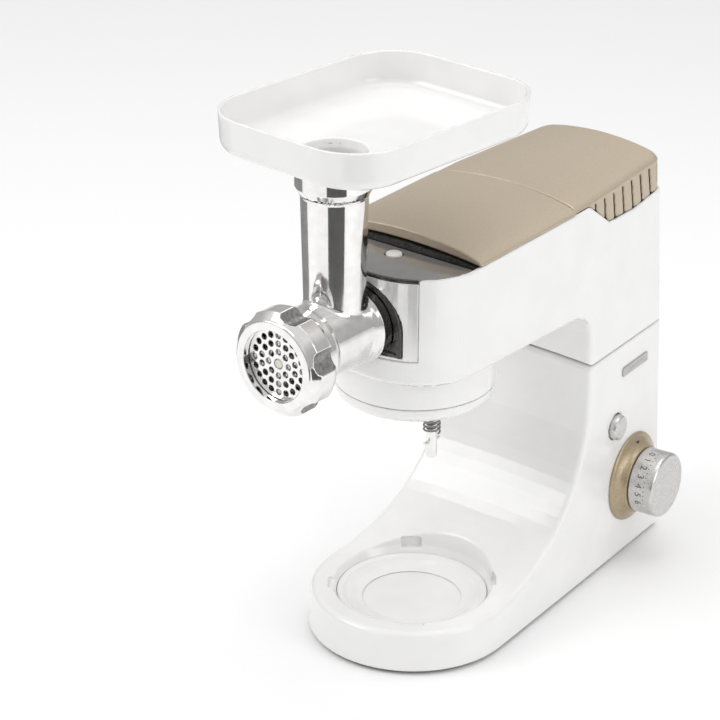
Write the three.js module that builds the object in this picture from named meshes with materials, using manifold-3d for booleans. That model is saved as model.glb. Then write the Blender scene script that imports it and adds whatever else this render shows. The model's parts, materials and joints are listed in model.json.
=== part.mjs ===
// Tilt-head kitchen machine with a meat grinder fitted to its front hub.
// Millimetres, +Z up. The origin is on the table, under the axis of the mixing bowl.
// The hub and the grinder face -Y, and the speed dial is on the +X side.
import * as THREE from 'three';
import { mergeVertices } from 'three/addons/utils/BufferGeometryUtils.js';
import Module from 'manifold-3d';

const wasm = await Module();
wasm.setup();

// ---------------------------------------------------------------- driving dimensions
const GAP = 0.3;               // running clearance between touching pieces
const WALL = 3;                // wall of the plastic shells
const SHAFT_BORE = 5.8;        // bore of every wheel on a 10 mm shaft

const STAND = { noseR: 84, rearHalf: 60, rearY: 255, cornerR: 9, underZ: 3, topZ: 37 };
const SEAM_Z = 198;            // joint face between the column and the head
// The rear wall leans: below plumbZ it stands further back, and the rear half widens by a share.
const LEAN = { plumbZ: 306, seamBack: 8, footBack: 17.7, seamSpread: 0.022, footSpread: 0.067 };
const SCOOP = { centreY: -60, r: 202.5, roofZ: 247, filletR: 23, stretch: 2 };
const DISH = { r: 61, floorZ: 24, lipR: 64, mouthR: 67, mouthZ: 60 };
const SEAT = { innerR: 40, ledgeR: 56, topZ: 31, slotWidth: 17, slotZ: [34, 43], slotTurn: 38 };

const HEAD = { half: 70, noseY: -72, noseStartY: -14, taperY: 139, rearHalf: 60, rearY: 255 };
const EDGE_Z = 335;            // top edge of the head side wall where y = 0
const RISE = 0.026;            // the top edge climbs by this much for each mm towards the rear
const CROWN = { height: 13, power: 1.77, rimZ: 1.8, skin: 3 };
const COVER = { frontY: -12, splitY: 113, flapStartY: 133, flapEndY: 165, flapZ: 316 };

const TILT_AXIS = { y: 254, z: 208 };
const LUG = { x: 42, width: 5, r: 8 };

const PLANET = { r: 63, topZ: 246.4, seamZ: 221.3, bottomZ: 204.5, angle: -20 };
const RING = { pitchR: 42, teeth: 28 };
const PINION = { pitchR: 16.5, teeth: 11 };
const MESH_Z = [228, 236];     // the pinion runs in the ring gear between these heights

const HUB_Z = 290;             // height of the hub and grinder axis
const ARCH = { r: 38.6, floorZ: 271 };
const BEZEL = { half: 48.5, floorZ: 268.5, depth: 1.6 };
const PANEL = { topZ: 333, thick: 4, rearY: -15.5, buttonY: -28, buttonR: 6 };

const MAIN_GEAR = { pitchR: 57.2, teeth: 36 };
const IDLER = { y: 70, pinionR: 12.8, pinionTeeth: 8, pulleyR: 30, pulleyTeeth: 24 };
const MOTOR = { y: 200, r: 41, bottomZ: 215, topZ: 289, pulleyR: 10, pulleyTeeth: 8 };
const BELT_Z = [302, 314];

const GRINDER = {
  frontY: -158, rearY: -64.5, collarR: 32, collarY: -130, barrelR: 29.5, barrelRise: 3.5,
  mouthR: 28, mouthY: -150, boreR: 23.2, flangeR: 31, flatZ: 282,
};
const CHUTE = { y: -99, footR: 22.6, headR: 25.2, collarR: 29.2, collarZ: 402, topZ: 430, boreR: 19.8 };
const SPIGOT = { r: 25.4, boreR: 22.8, footZ: 407 };
const NUT = {
  frontY: -170, backY: -144, faceR: 35, openR: 27.8, lobeR: 40.5, rimR: 33.4, rimY: -163.9,
  lobes: 6, grooveR: 10.8, grooveAt: 46.2, grooveTurn: 15,
};
const PLATE = { r: 31, thick: 5, holeR: 3, pitch: 10 };
const TRAY = {
  half: 81.5, frontY: -161.5, rearY: 51, cornerR: 44, floorZ: 434, rimZ: 464, skin: 2.6, turn: -4,
};

const CORD = { y: 271.7, z: 24, holeR: 8, tubeR: 7.6, lipR: 10, boreR: 3.4 };
const DIAL = { y: 215, z: 70.2, plateR: 38.6, flareR: 28.8, knobR: 27.8, knobFrom: 13, knobTo: 35 };
const RELEASE = { y: 185, z: 128, r: 11, proud: 6 };

// ---------------------------------------------------------------- finishes
const finish = (color, roughness, metalness = 0) =>
  new THREE.MeshStandardMaterial({ color, roughness, metalness });
const white = () => finish(0xf6f5f3, 0.25);
const gold = () => finish(0xc4b49c, 0.45, 0.6);
const smoke = () => finish(0x857f7a, 0.12);
const black = () => finish(0x2f2e2a, 0.3);
const polished = () => finish(0xd4d2cf, 0.12, 1);
const steel = () => finish(0x9a9a98, 0.35, 1);
const rubber = () => finish(0x3a3a3a, 0.9);
const nylon = () => finish(0xe6e2d6, 0.5);
const copper = () => finish(0x9c5a36, 0.5, 0.6);
const circuit = () => finish(0x2c5a3a, 0.6);

// ---------------------------------------------------------------- solids from geometry
const WELD = 1e-4;

// One closed mesh: shared corners merged, collapsed triangles dropped.
function welded(geometry) {
  const bare = geometry.clone();
  bare.deleteAttribute('normal');
  bare.deleteAttribute('uv');
  const merged = mergeVertices(bare, WELD);
  const from = merged.index.array;
  const kept = [];
  for (let i = 0; i < from.length; i += 3) {
    const [a, b, c] = [from[i], from[i + 1], from[i + 2]];
    if (a !== b && b !== c && c !== a) kept.push(a, b, c);
  }
  merged.setIndex(kept);
  return merged;
}

function solid(geometry) {
  const mesh = welded(geometry);
  const vertProperties = new Float32Array(mesh.attributes.position.array);
  const triVerts = new Uint32Array(mesh.index.array);
  return new wasm.Manifold(new wasm.Mesh({ numProp: 3, vertProperties, triVerts }));
}

function geometryOf(manifold) {
  const mesh = manifold.getMesh();
  const geometry = new THREE.BufferGeometry();
  geometry.setAttribute('position', new THREE.BufferAttribute(mesh.vertProperties, 3));
  geometry.setIndex(new THREE.BufferAttribute(mesh.triVerts, 1));
  return geometry;
}

const joined = (first, ...rest) => rest.reduce((whole, piece) => whole.add(piece), first);
const less = (first, ...rest) => rest.reduce((whole, piece) => whole.subtract(piece), first);
const common = (first, ...rest) => rest.reduce((whole, piece) => whole.intersect(piece), first);

// ---------------------------------------------------------------- shape helpers
const points = (pairs) => pairs.map(([a, b]) => new THREE.Vector2(a, b));

function outlineOf(pairs, holes = []) {
  const shape = new THREE.Shape(points(pairs));
  shape.holes = holes;
  return shape;
}

function circle(r, x = 0, y = 0) {
  const path = new THREE.Path();
  path.absarc(x, y, r, 0, 2 * Math.PI);
  return path;
}

function disc(r, x = 0, y = 0) {
  return new THREE.Shape().absarc(x, y, r, 0, 2 * Math.PI);
}

function polygon(sides, r, turn = 0) {
  const pairs = [];
  for (let i = 0; i < sides; i += 1) {
    const a = turn + (2 * Math.PI * i) / sides;
    pairs.push([r * Math.cos(a), r * Math.sin(a)]);
  }
  return pairs;
}

function extruded(shape, depth, curveSegments = 12, steps = 1) {
  return new THREE.ExtrudeGeometry(shape, { depth, bevelEnabled: false, curveSegments, steps });
}

// A plan outline (x, y) drawn upwards.
const upright = (shape, z0, z1, curve) =>
  solid(extruded(shape, z1 - z0, curve).translate(0, 0, z0));

// An outline (x, z) drawn along Y.
const lengthwise = (shape, y0, y1, curve) =>
  solid(extruded(shape, y1 - y0, curve).rotateX(Math.PI / 2).translate(0, y1, 0));

// An outline (y, z) drawn across X.
const crosswise = (shape, x0, x1, curve) =>
  solid(extruded(shape, x1 - x0, curve).rotateY(Math.PI / 2).rotateX(Math.PI / 2)
    .translate(x0, 0, 0));

function box(x0, x1, y0, y1, z0, z1) {
  const geometry = new THREE.BoxGeometry(x1 - x0, y1 - y0, z1 - z0);
  return solid(geometry.translate((x0 + x1) / 2, (y0 + y1) / 2, (z0 + z1) / 2));
}

// A closed outline of (radius, height) turned about an axis, listed anticlockwise.
function lathe(pairs, segments) {
  const first = pairs[0];
  return new THREE.LatheGeometry(points([...pairs, first]), segments);
}
const turnedZ = (pairs, x = 0, y = 0, segments = 24) =>
  solid(lathe(pairs, segments).rotateX(Math.PI / 2).translate(x, y, 0));
const turnedY = (pairs, segments = 24, z = HUB_Z) =>
  solid(lathe(pairs, segments).translate(0, 0, z));
const turnedX = (pairs, y = 0, z = 0, segments = 24) =>
  solid(lathe(pairs, segments).rotateZ(-Math.PI / 2).translate(0, y, z));

// A plain ring or rod between two heights.
const sleeve = (r0, r1, a, b) => [[r0, a], [r1, a], [r1, b], [r0, b]];

// A gear whose tips stay inside its pitch circle, so that it turns free of its neighbour.
function gearShape(teeth, tipR, rootR, boreR) {
  const pairs = [];
  for (let i = 0; i < teeth; i += 1) {
    for (const [share, r] of [[0, rootR], [0.3, rootR], [0.45, tipR], [0.85, tipR]]) {
      const a = (2 * Math.PI * (i + share)) / teeth;
      pairs.push([r * Math.cos(a), r * Math.sin(a)]);
    }
  }
  return outlineOf(pairs, boreR > 0 ? [circle(boreR)] : []);
}

class Helix extends THREE.Curve {
  constructor(r, length, turns) {
    super();
    Object.assign(this, { r, length, turns });
  }

  getPoint(t, target = new THREE.Vector3()) {
    const a = 2 * Math.PI * this.turns * t;
    return target.set(this.r * Math.cos(a), this.r * Math.sin(a), this.length * t);
  }
}

function coil(r, wire, length, turns) {
  const extrudePath = new Helix(r, length, turns);
  const section = outlineOf(polygon(4, wire));
  return new THREE.ExtrudeGeometry(section, { extrudePath, steps: turns * 8, bevelEnabled: false });
}

// ---------------------------------------------------------------- outlines of the body
// The stand seen from above: a round nose, and flanks that close in towards the rear.
function standPlan(inset = 0) {
  const r = STAND.noseR - inset;
  const half = STAND.rearHalf - inset;
  const rear = STAND.rearY - inset;
  const corner = STAND.cornerR;
  const reach = Math.hypot(half, rear);
  const touch = Math.atan2(rear, half) - Math.acos(r / reach);
  const shape = new THREE.Shape();
  shape.moveTo(-half + corner, rear);
  shape.quadraticCurveTo(-half, rear, -half, rear - corner);
  shape.absarc(0, 0, r, Math.PI - touch, 2 * Math.PI + touch);
  shape.lineTo(half, rear - corner);
  shape.quadraticCurveTo(half, rear, half - corner, rear);
  return shape;
}

// The head seen from above: a full nose, straight flanks, and a rear block that closes in.
function headPlan(inset = 0) {
  const half = HEAD.half - inset;
  const rearHalf = HEAD.rearHalf - inset;
  const rear = HEAD.rearY - inset;
  const nose = HEAD.noseY + inset;
  const corner = STAND.cornerR;
  const shape = new THREE.Shape();
  shape.moveTo(-rearHalf + corner, rear);
  shape.quadraticCurveTo(-rearHalf, rear, -rearHalf, rear - corner);
  shape.lineTo(-half, HEAD.taperY);
  shape.lineTo(-half, HEAD.noseStartY);
  shape.bezierCurveTo(-half, -46, -0.74 * half, nose + 2, -14, nose);
  shape.lineTo(14, nose);
  shape.bezierCurveTo(0.74 * half, nose + 2, half, -46, half, HEAD.noseStartY);
  shape.lineTo(half, HEAD.taperY);
  shape.lineTo(rearHalf, rear - corner);
  shape.quadraticCurveTo(rearHalf, rear, rearHalf - corner, rear);
  return shape;
}

// How far back the rear wall stands at a height, and by what share the rear half widens.
function leanAt(z) {
  const { plumbZ, seamBack, footBack, seamSpread, footSpread } = LEAN;
  if (z >= SEAM_Z) {
    const upper = (plumbZ - z) / (plumbZ - SEAM_Z);
    return { back: seamBack * upper, spread: seamSpread * upper };
  }
  const lower = (SEAM_Z - z) / (SEAM_Z - STAND.underZ);
  return {
    back: seamBack + (footBack - seamBack) * lower,
    spread: seamSpread + (footSpread - seamSpread) * lower,
  };
}

// A plan outline of the body drawn upwards, with the lean of its rear half.
function bodied(shape, z0, z1, curve) {
  const geometry = extruded(shape, z1 - z0, curve).translate(0, 0, z0);
  const place = geometry.attributes.position;
  for (let i = 0; i < place.count; i += 1) {
    const share = Math.max(place.getY(i), 0) / STAND.rearY;
    const { back, spread } = leanAt(place.getZ(i));
    place.setX(i, place.getX(i) * (1 + spread * share));
    place.setY(i, place.getY(i) + back * share);
  }
  return solid(geometry);
}

// The space swept round the bowl: everything in front of the column and under the arm.
// It is turned about the vertical and then widened, so that the column's front is nearly flat.
function scoop(grow = 0) {
  const sweep = new THREE.CubicBezierCurve(
    new THREE.Vector2(72, STAND.topZ - grow),
    new THREE.Vector2(148 + grow, 42 - grow),
    new THREE.Vector2(199 + grow, 95 - grow),
    new THREE.Vector2(SCOOP.r + grow, 175),
  );
  const profile = [[0, STAND.topZ - grow]];
  for (const p of sweep.getPoints(7)) profile.push([p.x, p.y]);
  const filletZ = SCOOP.roofZ - SCOOP.filletR;
  const filletR = SCOOP.filletR + grow;
  for (let i = 0; i <= 3; i += 1) {
    const a = (Math.PI / 2) * (i / 3);
    const across = SCOOP.r - SCOOP.filletR + filletR * Math.cos(a);
    profile.push([across, filletZ + filletR * Math.sin(a)]);
  }
  profile.push([0, SCOOP.roofZ + grow]);
  return turnedZ(profile, 0, 0, 44).scale([SCOOP.stretch, 1, 1]).translate([0, SCOOP.centreY, 0]);
}

// The side view of the head block, rounded about the tilt axis at its lower rear corner.
function headSide(inset, roof) {
  const r = HEAD.rearY + LEAN.seamBack - TILT_AXIS.y - inset;
  const shape = new THREE.Shape();
  shape.moveTo(-90, TILT_AXIS.z - r);
  shape.lineTo(TILT_AXIS.y, TILT_AXIS.z - r);
  shape.absarc(TILT_AXIS.y, TILT_AXIS.z, r, -Math.PI / 2, 0);
  for (const [y, z] of roof) shape.lineTo(y, z);
  return shape;
}

// The line where the gold covers meet the white side wall, read from rear to front.
const shoulder = (lift = 0) => [
  [HEAD.rearY + 15, COVER.flapZ + 5 + lift],
  [240, COVER.flapZ + 1 + lift],
  [205, COVER.flapZ - 2 + lift],
  [COVER.flapEndY, COVER.flapZ + lift],
  [COVER.flapStartY, EDGE_Z + RISE * COVER.flapStartY + lift],
  [-20, EDGE_Z - 0.6 + lift],
  [-90, EDGE_Z - 0.6 + lift],
];

// The crowned section of the covers, from one edge over the top to the other.
function crownLine(half, baseZ, height) {
  const line = [];
  for (const share of [1, 0.98, 0.9, 0.7, 0.4, 0, -0.4, -0.7, -0.9, -0.98, -1]) {
    const rise = (1 - Math.abs(share) ** CROWN.power) ** (1 / CROWN.power);
    line.push([half * share, baseZ + height * rise]);
  }
  return line;
}

// Leans a piece so that its height follows the climbing top edge.
function leaned(geometry) {
  const lean = new THREE.Matrix4().set(1, 0, 0, 0, 0, 1, 0, 0, 0, RISE, 1, 0, 0, 0, 0, 1);
  return geometry.applyMatrix4(lean);
}

function crowned(section, y0, y1) {
  const geometry = extruded(section, y1 - y0).rotateX(Math.PI / 2).translate(0, y1, 0);
  return solid(leaned(geometry));
}

// ---------------------------------------------------------------- the assembly
const machine = new THREE.Group();

function add(name, shape, material, parent = machine) {
  const geometry = shape instanceof THREE.BufferGeometry ? welded(shape) : geometryOf(shape);
  geometry.computeVertexNormals();
  const mesh = new THREE.Mesh(geometry, material);
  mesh.name = name;
  parent.add(mesh);
  return mesh;
}

// The right flank at a height: how far it is turned from +X, and its x where y is given.
function flankAt(y, z) {
  const { back, spread } = leanAt(z);
  const half = STAND.rearHalf * (1 + spread);
  const rear = STAND.rearY + back;
  const turn = Math.atan2(rear, half) - Math.acos(STAND.noseR / Math.hypot(half, rear));
  return { turn, x: (STAND.noseR - y * Math.sin(turn)) / Math.cos(turn) };
}

// Pieces on the right flank of the column share a frame whose X points straight out of it.
function flankGroup(y, z) {
  const group = new THREE.Group();
  const { turn, x } = flankAt(y, z);
  const slope = Math.atan((flankAt(y, z - 1).x - x) * Math.cos(turn));
  group.position.set(x, y, z);
  group.rotation.set(0, -slope, turn, 'ZYX');
  machine.add(group);
  return group;
}

function placed(manifold, group) {
  group.updateMatrixWorld(true);
  const geometry = geometryOf(manifold).applyMatrix4(group.matrixWorld);
  return solid(geometry);
}

// ---------------------------------------------------------------- stand
const dialGroup = flankGroup(DIAL.y, DIAL.z);
const releaseGroup = flankGroup(RELEASE.y, RELEASE.z);

function buildStand() {
  const outer = bodied(standPlan(), STAND.underZ, SEAM_Z, 10);
  const dish = turnedZ([[0, DISH.floorZ], [DISH.r, DISH.floorZ], [DISH.r, SEAT.topZ],
    [DISH.lipR, STAND.topZ], [DISH.mouthR, DISH.mouthZ], [0, DISH.mouthZ]], 0, 0, 32);
  const seatSlots = [0, 1, 2, 3].map((i) => box(DISH.r - 9, DISH.mouthR + 0.5,
    -SEAT.slotWidth / 2, SEAT.slotWidth / 2, ...SEAT.slotZ).rotate([0, 0, SEAT.slotTurn + 90 * i]));
  const hollow = less(
    bodied(standPlan(WALL), STAND.underZ - 1, SEAM_Z - WALL, 8),
    scoop(WALL),
    turnedZ(sleeve(0, DISH.mouthR + WALL, DISH.floorZ - WALL, 200), 0, 0, 24),
  );
  const shaftHole = placed(turnedX(sleeve(0, 5, -10, 10), 0, 0, 16), dialGroup);
  const buttonHole = placed(turnedX(sleeve(0, RELEASE.r + GAP, -10, 10), 0, 0, 20), releaseGroup);
  const lugSlots = [-1, 1].map((side) => box(
    side * LUG.x - LUG.width / 2 - 1, side * LUG.x + LUG.width / 2 + 1,
    TILT_AXIS.y - 9, TILT_AXIS.y + 5, 190, 205));
  const latchSlot = box(31, 47, 179, 191, 190, 205);
  const cordHole = lengthwise(disc(CORD.holeR, 0, CORD.z), CORD.y - 20, CORD.y + 20, 10);
  return less(outer, scoop(), dish, ...seatSlots, hollow, shaftHole, buttonHole, ...lugSlots,
    latchSlot, cordHole);
}
add('stand_shell', buildStand(), white());

// The base plate lies flush between the feet, which come through it, and hides the screw heads.
const PLATE_TOP = STAND.underZ + 2.5;
const FOOT = { r: 14, flangeR: 16 };
const SCREW = { headR: 4, stemR: 1.9, headZ: [3.3, 4.6], tipZ: 14 };
const screwPlaces = [[0, -55], [0, 225]];
const footPlaces = {
  front_left: [-48, -40], front_right: [48, -40], rear_left: [-38, 232], rear_right: [38, 232],
};
function buildBasePlate() {
  const plate = bodied(standPlan(WALL + GAP + 0.5), STAND.underZ, PLATE_TOP, 8);
  const footHoles = Object.values(footPlaces).map(([x, y]) =>
    turnedZ(sleeve(0, FOOT.r + GAP, 0, 10), x, y, 16));
  const screwHoles = screwPlaces.map(([x, y]) => turnedZ([[0, 0], [SCREW.headR + GAP, 0],
    [SCREW.headR + GAP, SCREW.headZ[1] + GAP], [SCREW.stemR + GAP, SCREW.headZ[1] + GAP],
    [SCREW.stemR + GAP, 10], [0, 10]], x, y, 12));
  return less(plate, ...footHoles, ...screwHoles);
}
add('base_plate', buildBasePlate(), white());

for (const [place, [x, y]] of Object.entries(footPlaces)) {
  const cup = [[0, 1.2], [9, 1.2], [12, 0], [FOOT.r, 0], [FOOT.r, PLATE_TOP + GAP],
    [FOOT.flangeR, PLATE_TOP + GAP], [FOOT.flangeR, PLATE_TOP + 1.8], [0, PLATE_TOP + 1.8]];
  add(`foot_${place}`, turnedZ(cup, x, y, 16), rubber());
}

for (const [i, [x, y]] of screwPlaces.entries()) {
  const [under, over] = SCREW.headZ;
  const screw = [[0, under], [SCREW.headR, under], [SCREW.headR, over], [SCREW.stemR, over],
    [SCREW.stemR, SCREW.tipZ], [0, SCREW.tipZ]];
  add(`base_screw_${i + 1}`, turnedZ(screw, x, y, 12), steel());
}

function buildBowlSeat() {
  const { innerR, ledgeR, topZ } = SEAT;
  const outerR = DISH.r - GAP;
  const under = DISH.floorZ + GAP;
  return turnedZ([[innerR, under], [outerR, under], [outerR, topZ - 0.8], [outerR - 0.8, topZ],
    [ledgeR, topZ], [ledgeR - 1.5, topZ - 0.7], [ledgeR - 7, under + 2.6], [innerR, under + 0.8]],
  0, 0, 32);
}
add('bowl_seat_ring', buildBowlSeat(), white());

// Hinge between the stand and the head.
function buildHingeBracket() {
  const bridge = box(-50, 50, TILT_AXIS.y - 14, TILT_AXIS.y + 4, 190, SEAM_Z - WALL - GAP);
  const lugs = [-1, 1].map((side) => {
    const x0 = side * LUG.x - LUG.width / 2;
    const upper = turnedX(sleeve(0, LUG.r, x0, x0 + LUG.width), TILT_AXIS.y - 2, TILT_AXIS.z, 20);
    return joined(upper, box(x0, x0 + LUG.width, TILT_AXIS.y - 8, TILT_AXIS.y + 4,
      190, TILT_AXIS.z - 2));
  });
  const bore = turnedX(sleeve(0, 3.3, -60, 60), TILT_AXIS.y, TILT_AXIS.z, 16);
  return less(joined(bridge, ...lugs), bore);
}
add('hinge_bracket', buildHingeBracket(), steel());
add('hinge_pin', turnedX(sleeve(0, 3, -46, 46), TILT_AXIS.y, TILT_AXIS.z, 16), steel());

// Speed control, in the frame of the flank.
add('dial_plate', turnedX([[5.5, GAP], [DIAL.plateR, GAP], [DIAL.plateR, 1.6],
  [35.5, 3.4], [31.4, 6.6], [DIAL.flareR, 11.6], [5.5, 11.6]], 0, 0, 28), gold(), dialGroup);
function buildKnob() {
  return turnedX([[5, DIAL.knobFrom - 1], [DIAL.knobR - 1, DIAL.knobFrom - 1],
    [DIAL.knobR, DIAL.knobFrom], [DIAL.knobR, DIAL.knobTo - 2.5], [DIAL.knobR - 2.5, DIAL.knobTo],
    [0, DIAL.knobTo], [0, DIAL.knobTo - 6], [5, DIAL.knobTo - 6]], 0, 0, 24);
}
add('speed_knob', buildKnob(), polished(), dialGroup);
add('speed_shaft', turnedX(sleeve(0, 4.2, -22, DIAL.knobTo - 7), 0, 0, 12), steel(), dialGroup);
add('speed_switch', turnedX(sleeve(5, 13, -22, -4.5), 0, 0, 16), black(), dialGroup);

// Head release, in the frame of the flank.
add('release_button', turnedX([[0, -12], [4, -12], [4, -7], [RELEASE.r - GAP, -7],
  [RELEASE.r - GAP, RELEASE.proud - 2.5], [RELEASE.r - 3, RELEASE.proud], [0, RELEASE.proud]],
0, 0, 20), polished(), releaseGroup);
add('release_spring', coil(6.5, 0.6, 9, 3).rotateY(Math.PI / 2).translate(-22, 0, 0), steel(),
  releaseGroup);
function buildLatch() {
  const lever = box(37, 41, 181, 189, 126, SEAM_Z + 6);
  const hook = box(34, 41, 181, 189, SEAM_Z + 4, SEAM_Z + 8);
  const trunnion = lengthwise(disc(2.1, 39, 160), 176, 194, 8);
  return joined(lever, hook, trunnion);
}
add('latch_lever', buildLatch(), steel());

add('control_board', box(-36, 20, 236, 238, 50, 130), circuit());
function buildGland() {
  const { y, z, tubeR, lipR, boreR } = CORD;
  const tube = lengthwise(outlineOf(polygon(20, tubeR), [circle(boreR)]), y - 7, y + 3, 8);
  const lip = lengthwise(outlineOf(polygon(20, lipR), [circle(boreR)]), y + 1, y + 3.3, 8);
  return joined(tube, lip).translate([0, 0, z]);
}
add('cord_gland', buildGland(), rubber());

// A plain strip on the column, in the frame of the flank.
const stripGroup = flankGroup(214, 174);
add('column_strip', box(GAP, 1.2, -21, 21, -4, 4), finish(0xb9b6b2, 0.35, 0.4), stripGroup);

// ---------------------------------------------------------------- head
const archShape = (r, floorZ) => {
  const shape = new THREE.Shape();
  shape.moveTo(-r, floorZ);
  shape.lineTo(r, floorZ);
  shape.lineTo(r, HUB_Z);
  shape.absarc(0, HUB_Z, r, 0, Math.PI);
  return shape;
};

function buildHeadShell() {
  const outer = common(
    bodied(headPlan(), SEAM_Z, 360, 10),
    crosswise(headSide(0, shoulder()), -90, 90, 6),
  );
  const hollow = less(
    common(
      bodied(headPlan(WALL), SEAM_Z, 380, 10),
      crosswise(headSide(WALL, [[270, 380], [-90, 380]]), -90, 90, 6),
    ),
    scoop(WALL),
  );
  const bezelSeat = less(
    box(-BEZEL.half - GAP, BEZEL.half + GAP, -90, -30, BEZEL.floorZ - GAP, 360),
    bodied(headPlan(BEZEL.depth + GAP), 200, 370, 10),
  );
  const archHole = lengthwise(archShape(ARCH.r, ARCH.floorZ), -90, -45, 10);
  const lugSlots = [-1, 1].map((side) => box(side * LUG.x - LUG.width / 2 - 1.5,
    side * LUG.x + LUG.width / 2 + 1.5, TILT_AXIS.y - 14, TILT_AXIS.y + 16, 190, 222));
  const latchSlot = box(28, 50, 174, 194, 190, 206);
  const shaftHole = turnedZ(sleeve(0, 16, 240, 255), 0, 0, 20);
  return less(outer, scoop(), hollow, bezelSeat, archHole, ...lugSlots, latchSlot, shaftHole);
}
add('head_shell', buildHeadShell(), white());

add('hinge_sleeve', turnedX(sleeve(3.4, 4.9, -37, 37), TILT_AXIS.y, TILT_AXIS.z, 16), steel());

// Deck that closes the head and carries the covers. Its front wall shows as a black step.
function buildDeck() {
  const inset = WALL + GAP;
  const plate = bodied(headPlan(inset), 318, 321, 8);
  const wall = crowned(outlineOf([[-66, 319], [66, 319], [66, 334.6], [40, 337.4], [0, 338.8],
    [-40, 337.4], [-66, 334.6]]), -15, COVER.frontY + 2);
  const rearPort = turnedZ(sleeve(0, 24, 300, 340), 0, MOTOR.y, 24);
  const frontPort = turnedZ(sleeve(0, 15, 300, 340), 0, IDLER.y, 20);
  const noseRoom = box(-90, 90, -90, PANEL.rearY + 0.5, 300, 340);
  return less(joined(plate, wall), rearPort, frontPort, noseRoom);
}
add('head_deck', buildDeck(), black());

function buildFrontCover() {
  const half = HEAD.half;
  const under = [[-half, EDGE_Z + GAP], [-40, EDGE_Z + 3.4], [0, EDGE_Z + 4.6], [40, EDGE_Z + 3.4],
    [half, EDGE_Z + GAP]];
  const over = crownLine(half, EDGE_Z + CROWN.rimZ, CROWN.height - CROWN.rimZ);
  return crowned(outlineOf([...under, ...over]), COVER.frontY, COVER.splitY - GAP / 2);
}
add('front_cover', buildFrontCover(), gold());

function buildRearCover() {
  const half = HEAD.half + 0.01;
  const top = crownLine(half, EDGE_Z + CROWN.rimZ, CROWN.height - CROWN.rimZ);
  const room = crownLine(half - CROWN.skin, EDGE_Z + CROWN.rimZ - CROWN.skin, CROWN.height - 2);
  const drop = 300;
  const y0 = COVER.splitY + GAP / 2;
  const block = common(
    crowned(outlineOf([[-half, drop], [half, drop], ...top]), y0, 262),
    bodied(headPlan(), 290, 370, 10),
    crosswise(outlineOf([[HEAD.rearY + 15, 380], ...shoulder(GAP).slice(0, 6), [-20, 380]]), -90, 90),
  );
  const inside = common(
    crowned(outlineOf([[-half + CROWN.skin, drop], [half - CROWN.skin, drop], ...room]), y0 - 5, 262),
    bodied(headPlan(WALL), 290, 370, 10),
  );
  return less(block, inside);
}
add('rear_cover', buildRearCover(), gold());

function buildPanel() {
  const plate = bodied(headPlan(WALL + GAP), PANEL.topZ - PANEL.thick, PANEL.topZ, 10);
  const behind = box(-90, 90, PANEL.rearY, 300, 300, 350);
  const hole = turnedZ(sleeve(0, PANEL.buttonR + GAP, 300, 350), 0, PANEL.buttonY, 20);
  return less(plate, behind, hole);
}
add('front_panel', buildPanel(), smoke());
add('hub_button', turnedZ([[0, 323], [PANEL.buttonR + 2, 323], [PANEL.buttonR + 2, 325],
  [PANEL.buttonR, 325], [PANEL.buttonR, 333.6], [PANEL.buttonR - 0.8, 334.3], [0, 334.3]],
  0, PANEL.buttonY, 20), white());

function buildBezel() {
  const skin = less(
    bodied(headPlan(), BEZEL.floorZ, EDGE_Z - 0.6, 10),
    bodied(headPlan(BEZEL.depth), 200, 360, 10),
  );
  const window = box(-BEZEL.half, BEZEL.half, -90, -30, 200, 360);
  const hole = lengthwise(archShape(ARCH.r, ARCH.floorZ), -90, -45, 10);
  return less(common(skin, window), hole);
}
add('hub_bezel', buildBezel(), finish(0xd9d7d4, 0.08, 0.6));

function buildHubFrame() {
  const body = lengthwise(archShape(ARCH.r - GAP, ARCH.floorZ + GAP), -70, -56, 12);
  const seat = less(turnedY(sleeve(0, GRINDER.flangeR + 0.6, -80, -62), 32),
    box(-60, 60, -90, -60, 200, GRINDER.flatZ - GAP));
  const bore = turnedY(sleeve(0, 16, -90, -50), 20);
  const panelRoom = box(-60, 60, -69, -50, PANEL.topZ - PANEL.thick - GAP, 340);
  return less(body, seat, bore, panelRoom);
}
add('hub_frame', buildHubFrame(), black());

// ---------------------------------------------------------------- drive train
function buildStator() {
  const body = turnedZ(sleeve(20, MOTOR.r, MOTOR.bottomZ + 8, MOTOR.topZ - 8), 0, MOTOR.y, 28);
  const flats = [-1, 1].map((side) => box(side > 0 ? 35 : -60, side > 0 ? 60 : -35,
    MOTOR.y - 60, MOTOR.y + 60, 200, 300));
  return less(body, ...flats);
}
add('motor_stator', buildStator(), steel());
const bracketOutline = (r) => [[5.5, 0], [r, 0], [r, 7.5], [r - 8, 7.5], [12, 3], [5.5, 3]];
add('motor_bracket', turnedZ(bracketOutline(36).map(([r, z]) => [r, MOTOR.bottomZ + z]),
  0, MOTOR.y, 24), steel());
add('motor_armature', turnedZ([[0, MOTOR.bottomZ - 4], [5, MOTOR.bottomZ - 4],
  [5, MOTOR.bottomZ + 14], [18.5, MOTOR.bottomZ + 16], [18.5, MOTOR.topZ - 16],
  [5, MOTOR.topZ - 14], [5, 327], [0, 327]], 0, MOTOR.y, 20), copper());
const pulleyPlan = (teeth, r) => gearShape(teeth, r, r - 1.2, SHAFT_BORE);
add('motor_pulley', upright(pulleyPlan(MOTOR.pulleyTeeth, MOTOR.pulleyR), ...BELT_Z, 4)
  .translate([0, MOTOR.y, 0]), steel());
add('rear_port_coupling', upright(gearShape(8, 15, 12, SHAFT_BORE), 316, 327, 4)
  .translate([0, MOTOR.y, 0]), nylon());

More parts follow.
